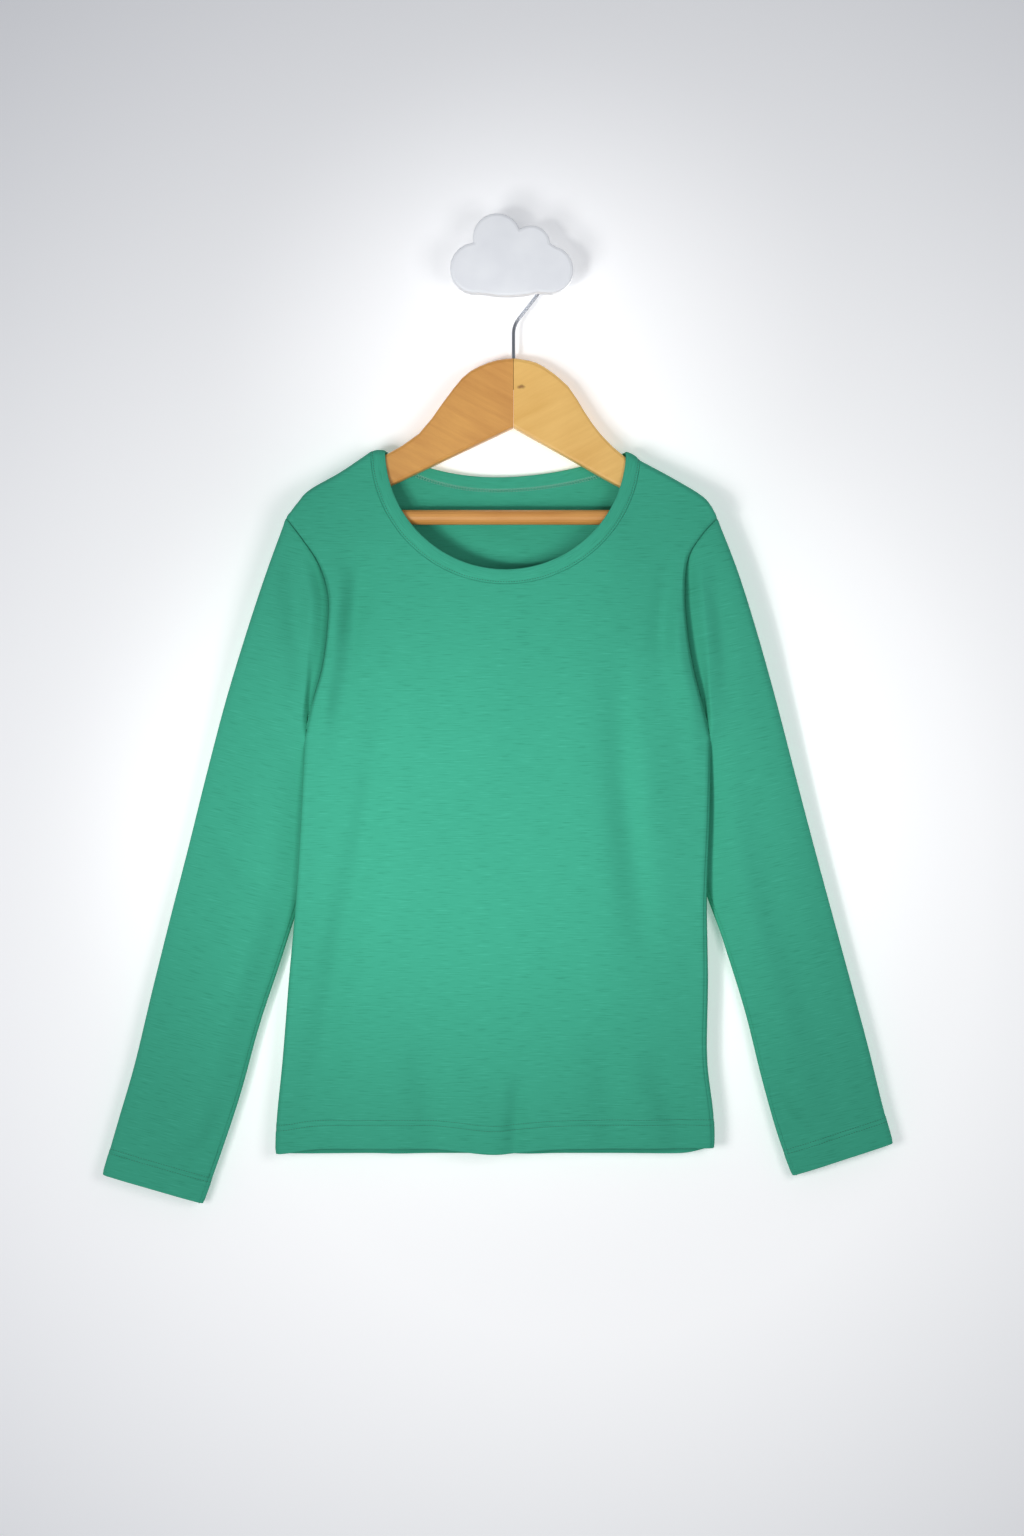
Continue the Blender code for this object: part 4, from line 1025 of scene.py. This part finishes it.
        def outside(place: Vector) -> Vector:
            """Away from the sleeve's middle line at that height."""
            nearest = min(middle.values(), key=lambda p: abs(float(p[2]) - place.z))
            return Vector((place.x - nearest[0], 8.0 * (place.y - nearest[1]), 0.0))

        return self.keep(cloth_mesh(name, grid, self.sleeve_places(grid, faces), ring=True, outside=outside))

    def tucked_row(self, points: Array, normals: Array) -> Array:
        """The row of a sleeve's points that reaches under the body's edge, least at the underarm."""
        head = points[0]
        start, over = self.tuck_from
        from_underarm = length(head - head[np.argmin(head[:, 2])])
        tucked = mix(*self.tuck, smooth((from_underarm - start) / over))[:, None]
        return head + unit(head - points[1]) * tucked - normals[0] * self.tuck_in * tucked

    def sleeve_places(self, grid: Array, faces: Array) -> Array:
        """Places of a sleeve's points on the flat cloth: out from its outer fold to either side, and along it."""
        first, last = self.straight_rows
        down = unit(grid[last].mean(axis=0) - grid[first].mean(axis=0))
        across = np.array((down[2], 0.0, -down[0]))
        out = (grid - grid[:, :1]) @ across
        return np.stack((np.where(faces > 0, -out, out) + self.sleeve_from, grid @ down), -1)

    def under_seam(self, points: Array, normals: Array, faces: Array) -> Array:
        """Presses in the seam under a sleeve, which has turned a little to the front."""
        fold = int(np.where(faces == 0)[0][1])
        inwards = run_along(points[:, fold::-1], 1)[:, ::-1]
        press = np.zeros(points.shape[:2])
        press[:, : fold + 1] = 0.5 * MM * np.exp(-(((inwards - 4.4 * MM) / self.turned_half) ** 2))
        return points - normals * press[..., None]

    def band_rings(self) -> tuple[Array, Array]:
        """The neck band's middle surface as rings from its seam to its fold, with outward normals."""
        form = self.form
        shares = steps(72, 0.0, 1.0, (0.001, 0.003, 0.006, 0.01, 0.99, 0.994, 0.997, 0.999))
        tips = [form.side_line(side, 1.0) for side in Side]
        halves = []
        for face in Face:
            lines = []
            for inset in self.band_insets:
                plane = form.neck_line(face, shares, inset)
                sides = [length(plane - tip) for tip in tips]
                y = form.panel_depth(face, plane[:, 0], plane[:, 1], sides, (0.0, 0.0))
                lines.append(np.stack((plane[:, 0], y, plane[:, 1]), -1))
            halves.append(np.array(lines))
        front, back = halves
        ends = 0.5 * (front[:, [0, -1]] + back[:, [0, -1]])
        rings = np.concatenate((ends[:, :1], front[:, 1:-1], ends[:, 1:], back[:, -2:0:-1]), axis=1)
        for _ in range(3):
            rings = 0.25 * np.roll(rings, 1, axis=1) + 0.5 * rings + 0.25 * np.roll(rings, -1, axis=1)
        normals = grid_normals(rings, ring=True)
        middle = rings.mean(axis=(0, 1))
        facing = np.zeros_like(rings)
        facing[..., 1] = np.sign(rings[..., 1] - middle[1])
        normals *= np.sign(np.sum(normals * facing))
        return rings, normals

    def make_band(self, name: str) -> bpy.types.Object:
        """Folds the neck band double and sews it round the neck."""
        rings, normals = self.band_rings()
        thick, proud = self.band_thick, self.band_proud
        count = len(rings)
        share = np.array(self.band_insets)
        crown = self.band_crown * np.sin(np.pi * share) ** 0.8
        deep, half = self.band_groove
        groove = deep * np.exp(-(((share - self.band_row) / half) ** 2))
        outer = [rings[j] + normals[j] * (proud + crown[j] - groove[j]) for j in range(count)]
        fold_out = unit(rings[-1] - rings[-2])
        middle = proud - 0.5 * thick
        fold = []
        for angle in np.radians(self.band_fold):
            place = rings[-1] + normals[-1] * (middle + 0.5 * thick * math.sin(angle))
            fold.append(place + fold_out * 0.45 * thick * math.cos(angle))
        inner = [rings[j] + normals[j] * (proud - thick - 0.3 * crown[j]) for j in range(count)][::-1]
        row = int(np.argmin(abs(share - self.band_row)))
        self.lines["neck"] = Line(outer[row], normals[row], ring=True)
        self.lines["neck_inside"] = Line(inner[-2], -normals[1], ring=True)
        grid = np.array(outer + fold + inner)
        grid = np.concatenate((grid, grid[:, :1]), axis=1)
        centres = rings[count // 2]

        def outside(place: Vector) -> Vector:
            """Away from the band's middle line."""
            nearest = centres[np.argmin(length(centres - np.array(place)))]
            return place - Vector(nearest)

        return self.keep(cloth_mesh(name, grid, flat_places(grid), ring=True, outside=outside))

    def make_stitches(self) -> None:
        """Sews the stitch rows of the hems, the cuffs and the neck."""
        cover = StitchRow()
        for name in ("front", "back", "left_sleeve", "right_sleeve"):
            self.sew(f"{name}_stitches", [(f"{name}_0", cover), (f"{name}_1", cover)])
        self.sew("neck_stitches", [("neck", StitchRow(pitch=2.0 * MM, long=1.3 * MM, wide=0.55 * MM))])
        loops = StitchRow(pitch=1.05 * MM, long=2.6 * MM, wide=0.42 * MM, turn=68.0, shift=0.4 * MM)
        chain = StitchRow(pitch=2.1 * MM, long=1.7 * MM, wide=0.42 * MM, shift=2.1 * MM)
        self.sew("neck_looper", [("neck_inside", loops), ("neck_inside", chain)])

    def sew(self, name: str, rows: Sequence[tuple[str, StitchRow]]) -> None:
        """Makes one piece of some stitch rows, each given with the name of its line."""
        shell = bmesh.new()
        count = sum(row.sew(shell, self.lines[line]) for line, row in rows)
        self.stitches[name] = place_mesh(name, shell)
        log.info("%s: %d stitches", name, count)


@dataclass(frozen=True)
class Jersey:
    """Slub cotton jersey, single knit and piece dyed: matt, with fine lighter and darker yarn streaks."""

    name: str
    colour: str = "#3DA385"
    light: str = "#43AB8D"
    dark: str = "#37987B"
    slub_long: float = 15.0
    slub_high: float = 0.8
    knit: float = 1.1

    def build(self) -> bpy.types.Material:
        """Makes the material, on the flat cloth's own places."""
        sheen = {"Sheen Weight": 0.12, "Sheen Roughness": 0.4, "Sheen Tint": linear("#8FD6BF")}
        made, tree, shader = new_material(self.name, {"Roughness": 0.9, "Specular IOR Level": 0.15, **sheen})
        place = add_node(tree, "UVMap", {"uv_map": "flat_cloth"}).outputs["UV"]
        # A slub is a thick stretch of yarn, about 15 mm long and one course of 0.8 mm high.
        streaks = add_scale(tree, place, (1.0 / (self.slub_long * MM), 1.0 / (self.slub_high * MM), 1.0))
        slub = add_noise(tree, streaks, 1.0, 1.0, Roughness=0.6)
        # The dye takes a little unevenly over patches of a few centimetres.
        patches = add_noise(tree, place, 22.0, 3.0)
        tone = add_node(tree, "Math", {"operation": "MULTIPLY_ADD", 1: 0.14}, {0: patches, 2: slub}).outputs["Value"]
        stops = ((0.36, self.dark), (0.50, self.colour), (0.66, self.colour), (0.80, self.light))
        tree.links.new(add_ramp(tree, tone, stops), shader.inputs["Base Color"])
        # Stitches of the knit are 0.8 mm wide, drawn at 1.1 mm so that they show.
        knit = add_node(tree, "TexVoronoi", {"Scale": 1.0 / (self.knit * MM)}, {"Vector": place}).outputs["Distance"]
        low = add_bump(tree, slub, 0.22, 0.10 * MM)
        tree.links.new(add_bump(tree, knit, 0.22, 0.08 * MM, over=low), shader.inputs["Normal"])
        return made


@dataclass(frozen=True)
class Thread:
    """Spun polyester sewing thread, twisted and lightly glossy."""

    name: str
    colour: str

    def build(self) -> bpy.types.Material:
        """Makes the material."""
        made, tree, shader = new_material(self.name, {"Roughness": 0.55, "Sheen Weight": 0.1})
        place = add_node(tree, "TexCoord").outputs["Object"]
        # The twist of the yarn lightens and darkens it every 0.5 mm or so.
        twist = add_noise(tree, place, 1.0 / (0.5 * MM), 1.0)
        tree.links.new(add_tone(tree, twist, self.colour, 0.82, 1.14), shader.inputs["Base Color"])
        return made


@dataclass(frozen=True)
class VarnishedWood:
    """Birch or lotus wood, sanded and dipped in clear varnish: honey coloured with soft grain and a thin gloss."""

    name: str
    light: str
    dark: str
    tilt: float = 0.0
    knot: tuple[float, float, float] | None = None

    def build(self) -> bpy.types.Material:
        """Makes the material, with its grain on Object coordinates."""
        made, tree, shader = new_material(self.name, {"Coat Weight": 0.35, "Coat Roughness": 0.18})
        place = add_node(tree, "TexCoord").outputs["Object"]
        turn = {"Rotation": (0.0, math.radians(self.tilt), 0.0)}
        turned = add_node(tree, "Mapping", turn, {"Vector": place}).outputs["Vector"]
        # Growth rings show as streaks about 70 mm long and 5 mm apart, with pores of 6 by 0.4 mm among them.
        rings = add_scale(tree, turned, (14.0, 200.0, 200.0))
        streak = add_noise(tree, rings, 1.0, 3.0, Roughness=0.5, Distortion=0.4)
        pores = add_noise(tree, add_scale(tree, turned, (160.0, 2500.0, 2500.0)), 1.0, 1.0)
        # Broad clouds of a few centimetres, where the varnish has run thicker.
        clouds = add_noise(tree, place, 26.0, 1.0)
        tone = add_node(tree, "Math", {"operation": "ADD"}, {0: clouds, 1: streak}).outputs["Value"]
        tone = add_node(tree, "Math", {"operation": "MULTIPLY_ADD", 1: 0.3}, {0: pores, 2: tone}).outputs["Value"]
        tone = add_node(tree, "Math", {"operation": "MULTIPLY", 1: 0.435}, {0: tone}).outputs["Value"]
        colour = add_ramp(tree, tone, ((0.30, self.dark), (0.70, self.light)))
        if self.knot is not None:
            colour = self.knotted(tree, place, colour)
        tree.links.new(colour, shader.inputs["Base Color"])
        tree.links.new(add_range(tree, streak, 0.30, 0.44), shader.inputs["Roughness"])
        tree.links.new(add_bump(tree, pores, 0.12, 0.1 * MM), shader.inputs["Normal"])
        return made

    def knotted(
        self, tree: bpy.types.NodeTree, place: bpy.types.NodeSocket, colour: bpy.types.NodeSocket
    ) -> bpy.types.NodeSocket:
        """Lays a pin knot 5 mm long and 2 mm high, with ragged edges, over the wood's colour.

        Args:
            tree: The node tree.
            place: Object coordinates.
            colour: The wood's colour.

        Returns:
            The colour with the knot.
        """
        ragged = 3.0 * MM
        wavy = add_node(tree, "TexNoise", {"Scale": 260.0, "Detail": 2.0}, {"Vector": place}).outputs["Color"]
        moved = add_node(tree, "VectorMath", {"operation": "MULTIPLY_ADD", 1: (ragged,) * 3}, {0: wavy, 2: place})
        middle = tuple(-(value * MM + 0.5 * ragged) for value in self.knot)
        knot = add_node(tree, "Mapping", {"Location": middle}, {"Vector": moved.outputs["Vector"]}).outputs["Vector"]
        spread = add_node(tree, "VectorMath", {"operation": "MULTIPLY", 1: (1.0, 0.05, 2.2)}, {0: knot})
        far = add_node(tree, "VectorMath", {"operation": "LENGTH"}, {0: spread.outputs["Vector"]}).outputs["Value"]
        fade = {"From Min": 1.2 * MM, "From Max": 3.6 * MM, "To Min": 0.75, "To Max": 0.0}
        share = add_node(tree, "MapRange", fade, {"Value": far}).outputs["Result"]
        return add_node(tree, "Mix", {"data_type": "RGBA", 7: linear("#7A4E22")}, {0: share, 6: colour}).outputs[2]


@dataclass(frozen=True)
class PlatedWire:
    """Steel wire, drawn and zinc plated: bright, with faint marks along it from the die."""

    name: str
    colour: str = "#B9BCC2"

    def build(self) -> bpy.types.Material:
        """Makes the material."""
        made, tree, shader = new_material(self.name, {"Metallic": 1.0})
        place = add_node(tree, "TexCoord").outputs["Object"]
        # Die marks are some 8 mm long and 0.3 mm wide.
        marks = add_noise(tree, add_scale(tree, place, (3000.0, 3000.0, 120.0)), 1.0, 2.0)
        tree.links.new(add_range(tree, marks, 0.10, 0.26), shader.inputs["Roughness"])
        tree.links.new(add_tone(tree, marks, self.colour, 0.85, 1.1), shader.inputs["Base Color"])
        return made


@dataclass(frozen=True)
class MattPaint:
    """White acrylic paint, sprayed on sanded wood: matt, with a faint orange peel."""

    name: str
    colour: str = "#F3F5F8"
    shade: str = "#ECEEF2"

    def build(self) -> bpy.types.Material:
        """Makes the material."""
        made, tree, shader = new_material(self.name, {"Specular IOR Level": 0.35})
        place = add_node(tree, "TexCoord").outputs["Object"]
        # The peel has dimples about 0.9 mm across.
        peel = add_noise(tree, place, 1.0 / (0.9 * MM), 1.0)
        coat = add_noise(tree, place, 35.0, 2.0)
        stops = ((0.35, self.shade), (0.65, self.colour))
        tree.links.new(add_ramp(tree, coat, stops), shader.inputs["Base Color"])
        tree.links.new(add_range(tree, coat, 0.48, 0.62), shader.inputs["Roughness"])
        tree.links.new(add_bump(tree, peel, 0.10, 0.05 * MM), shader.inputs["Normal"])
        return made


@dataclass(frozen=True)
class Lamp:
    """A light of the studio: a square soft one, or a round one with a soft edge.

    Attributes:
        name: The light's name.
        kind: AREA for the square one, SPOT for the round one.
        place: Where it stands.
        aim: The point that it looks at.
        size: Side of the square, or radius of the lit round at the aim.
        power: Its power in watts.
        source: Radius of a round light's source.
        edge: Softness of a round light's edge.
    """

    name: str
    kind: str
    place: tuple[float, float, float]
    aim: tuple[float, float, float]
    size: float
    power: float
    source: float = 0.12
    edge: float = 0.7

    def build(self) -> None:
        """Adds the light."""
        way = Vector(self.aim) - Vector(self.place)
        lamp = bpy.data.lights.new(self.name, self.kind)
        lamp.energy = self.power
        holder = bpy.data.objects.new(self.name, lamp)
        if self.kind == "AREA":
            lamp.size = self.size
            holder.visible_camera = False
        else:
            lamp.shadow_soft_size = self.source
            lamp.spot_size = 2.0 * math.atan(self.size / way.length)
            lamp.spot_blend = self.edge
        holder.location = self.place
        holder.rotation_mode = "QUATERNION"
        holder.rotation_quaternion = way.to_track_quat("-Z", "Y")
        bpy.context.scene.collection.objects.link(holder)


SHIRT_MIDDLE = (-0.02, 0.0, -0.42)
LAMPS = (
    Lamp("key", "AREA", (-0.55, -1.15, -0.62), SHIRT_MIDDLE, 0.40, 5.4),
    Lamp("fill", "AREA", (0.50, -1.15, -0.36), SHIRT_MIDDLE, 0.45, 3.8),
    Lamp("shirt_spot", "SPOT", (-0.74, -1.36, -0.60), (-0.01, 0.0, -0.42), 0.26, 48.0),
    Lamp("hanger_spot", "SPOT", (-0.45, -1.35, -0.45), (0.0, 0.0, -0.06), 0.14, 31.0),
    Lamp("back", "AREA", (0.45, 1.40, -0.20), SHIRT_MIDDLE, 0.60, 8.0),
)


@dataclass(frozen=True)
class Studio:
    """The camera square to the wall, the lights and the wall, whose colour carries painted light and shade.

    Attributes:
        scale: Size of a pixel at the shirt.
        image: The picture's pixels across and down.
        middle_px: Where the origin lies in the picture.
        garment_y: Depth at which the scale holds.
        lens: Focal length in millimetres.
        sensor: Length of the sensor's longer side in millimetres.
        sky: Colour of the light from all round.
        sky_strength: Its strength.
        wall_half: Half the side of the wall.
        wall_gap: Distance of the wall behind the wall hook's back face.
        painted_glow_of_wall: Strength of the wall's painted glow, light that it gives off though it is no lamp.
        painted_light_on_wall: Painted light: the wall's lighter colour behind the shirt.
        painted_shade_on_wall: Painted shade: its darker colour toward the picture's edges.
    """

    scale: float = 0.76 * MM
    image: tuple[int, int] = (1024, 1536)
    middle_px: tuple[float, float] = (513.5, 262.0)
    garment_y: float = -25.0 * MM
    lens: float = 70.0
    sensor: float = 36.0
    sky: str = "#EEF2FA"
    sky_strength: float = 0.31
    wall_half: float = 6.0
    wall_gap: float = 0.3 * MM
    painted_glow_of_wall: float = 0.2
    painted_light_on_wall: str = "#FFFFFF"
    painted_shade_on_wall: str = "#D2D3D7"

    def build(self) -> None:
        """Sets up the camera, the lights and the wall."""
        wide, high = self.image
        x = (0.5 * wide - self.middle_px[0]) * self.scale
        z = (self.middle_px[1] - 0.5 * high) * self.scale
        distance = self.lens / self.sensor * high * self.scale
        camera = bpy.data.cameras.new("camera")
        camera.lens = self.lens
        camera.sensor_width = self.sensor
        camera.sensor_fit = "AUTO"
        stand = bpy.data.objects.new("camera", camera)
        stand.location = (x, self.garment_y - distance, z)
        stand.rotation_euler = (math.radians(90.0), 0.0, 0.0)
        bpy.context.scene.collection.objects.link(stand)
        bpy.context.scene.camera = stand
        bpy.context.scene.view_settings.view_transform = "Standard"
        for lamp in LAMPS:
            lamp.build()
        world = bpy.data.worlds.new("studio")
        world.use_nodes = True
        background = world.node_tree.nodes["Background"]
        background.inputs["Color"].default_value = linear(self.sky)
        background.inputs["Strength"].default_value = self.sky_strength
        bpy.context.scene.world = world
        self.wall()

    def wall(self) -> None:
        """Adds the wall, which shows from the front alone: matt white, with painted light behind the shirt, painted
        shade away from it and a painted glow.
        """
        plate = bmesh.new()
        bmesh.ops.create_grid(plate, x_segments=1, y_segments=1, size=self.wall_half)
        bmesh.ops.rotate(plate, verts=plate.verts, matrix=Matrix.Rotation(math.radians(90.0), 3, "X"))
        bmesh.ops.translate(plate, verts=plate.verts, vec=(0.0, self.wall_gap, -0.4))
        mesh = bpy.data.meshes.new("wall")
        plate.to_mesh(mesh)
        plate.free()
        wall = bpy.data.objects.new("wall", mesh)
        paint, tree, shader = new_material("wall_white_and_painted_light", {"Roughness": 0.85, "Emission Strength": self.painted_glow_of_wall})
        place = add_node(tree, "TexCoord").outputs["Object"]
        spread = {"Location": (-0.06, 0.0, 0.40), "Scale": (1.0, 0.0, 0.85)}
        near = add_node(tree, "Mapping", spread, {"Vector": place}).outputs["Vector"]
        far = add_node(tree, "VectorMath", {"operation": "LENGTH"}, {0: near}).outputs["Value"]
        # Painted light and shade: the wall's colour is brightest within 0.3 m of the shirt's middle and darkest from
        # 0.8 m on.
        colour = add_ramp(tree, far, ((0.30, self.painted_light_on_wall), (0.80, self.painted_shade_on_wall)))
        # The same colour also glows from the wall itself: a painted glow.
        for socket in ("Base Color", "Emission Color"):
            tree.links.new(colour, shader.inputs[socket])
        # From behind, and for the light on the shirt's back, the wall isn't there.
        behind = add_node(tree, "NewGeometry").outputs["Backfacing"]
        shadow = add_node(tree, "LightPath").outputs["Is Shadow Ray"]
        clear = add_node(tree, "Math", {"operation": "MAXIMUM"}, {0: behind, 1: shadow}).outputs["Value"]
        glass = add_node(tree, "BsdfTransparent").outputs["BSDF"]
        shown = add_node(tree, "MixShader", {}, {0: clear, 1: shader.outputs["BSDF"], 2: glass}).outputs["Shader"]
        tree.links.new(shown, tree.nodes["Material Output"].inputs["Surface"])
        mesh.materials.append(paint)
        bpy.context.scene.collection.objects.link(wall)


@dataclass(frozen=True)
class Cut:
    """How a piece of the shirt was cut.

    Attributes:
        replaces: The CAD nodes that the piece stands for.
        flat: Width and length of the cut, in metres; not used.
        area: Its flat area in square metres; not used.
        rests_on: What carries it; not used.
        stitches: The rows of stitches on it; not used.
    """

    replaces: tuple[str, ...]
    flat: tuple[float, float]
    area: float
    rests_on: tuple[str, ...]
    stitches: tuple[str, ...]


ARMS = ("hanger_arm_left", "hanger_arm_right")
CUTS = {
    "front": Cut(("front_panel",), (0.340, 0.564), 0.160, ARMS, ("front_stitches",)),
    "back": Cut(("back_panel",), (0.340, 0.564), 0.173, ARMS, ("back_stitches",)),
    "left_sleeve": Cut(
        ("sleeve_left_upper", "sleeve_left_lower"), (0.330, 0.545), 0.095, ("front", "back"), ("left_sleeve_stitches",)
    ),
    "right_sleeve": Cut(
        ("sleeve_right_upper", "sleeve_right_lower"), (0.330, 0.545), 0.095, ("front", "back"),
        ("right_sleeve_stitches",),
    ),
    "band": Cut(
        ("neck_band",), (0.520, 0.0245), 0.0127, ("front", "back", *ARMS), ("neck_stitches", "neck_looper")
    ),
}


def dress_nodes() -> None:
    """Gives the hanger and the wall hook their finishes, with painted shade on the hanger's left arm and painted light
    on its right arm.
    """
    # Both arms are one wood: the left arm's darker colours are painted shade and the right arm's lighter ones painted
    # light, as if the arms faced the light differently.
    left = VarnishedWood("birch_left_arm_painted_shade", "#DFA352", "#C58741", tilt=-27.0)
    right = VarnishedWood("birch_right_arm_painted_light", "#F0C26F", "#E0AC58", tilt=27.0, knot=(5.5, -22.0, -94.5))
    bar = VarnishedWood("varnished_birch_bar", "#DDA056", "#C4843E")
    paint = MattPaint("white_acrylic_paint").build()
    finishes = {
        "hanger_arm_left": left.build(), "hanger_arm_right": right.build(), "hanger_bar": bar.build(),
        "hanger_hook": PlatedWire("zinc_plated_wire").build(), "wall_peg": paint, "wall_cloud": paint,
    }
    for name, finish in finishes.items():
        node = bpy.data.objects[name]
        for slot in node.material_slots:
            slot.material = finish
        log.info("%s: %s", name, finish.name)


def main() -> None:
    """Builds the shirt on its hanger, dresses it and sets up the studio."""
    logging.basicConfig(level=logging.INFO, format="%(relativeCreated)d ms %(message)s")
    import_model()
    shirt = Shirt(ShirtForm())
    jersey = Jersey("slub_jersey").build()
    shirt.make_panel("front", Face.FRONT)
    shirt.make_panel("back", Face.BACK)
    shirt.make_sleeve("left_sleeve", Side.LEFT)
    shirt.make_sleeve("right_sleeve", Side.RIGHT)
    shirt.make_band("band")
    shirt.make_stitches()
    thread = Thread("polyester_thread_green", "#1C5C49").build()
    pale = Thread("polyester_thread_mint", "#8FCDB8").build()
    for name, piece in shirt.stitches.items():
        piece.data.materials.append(pale if name == "neck_looper" else thread)
        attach(piece, "root")
    for name, piece in shirt.pieces.items():
        cut = CUTS[name]
        piece.data.materials.append(jersey)
        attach(piece, "root")
        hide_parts(*cut.replaces)
        log.info("%s: %d faces", name, len(piece.data.polygons))
    dress_nodes()
    Studio().build()


if __name__ == "__main__":
    main()
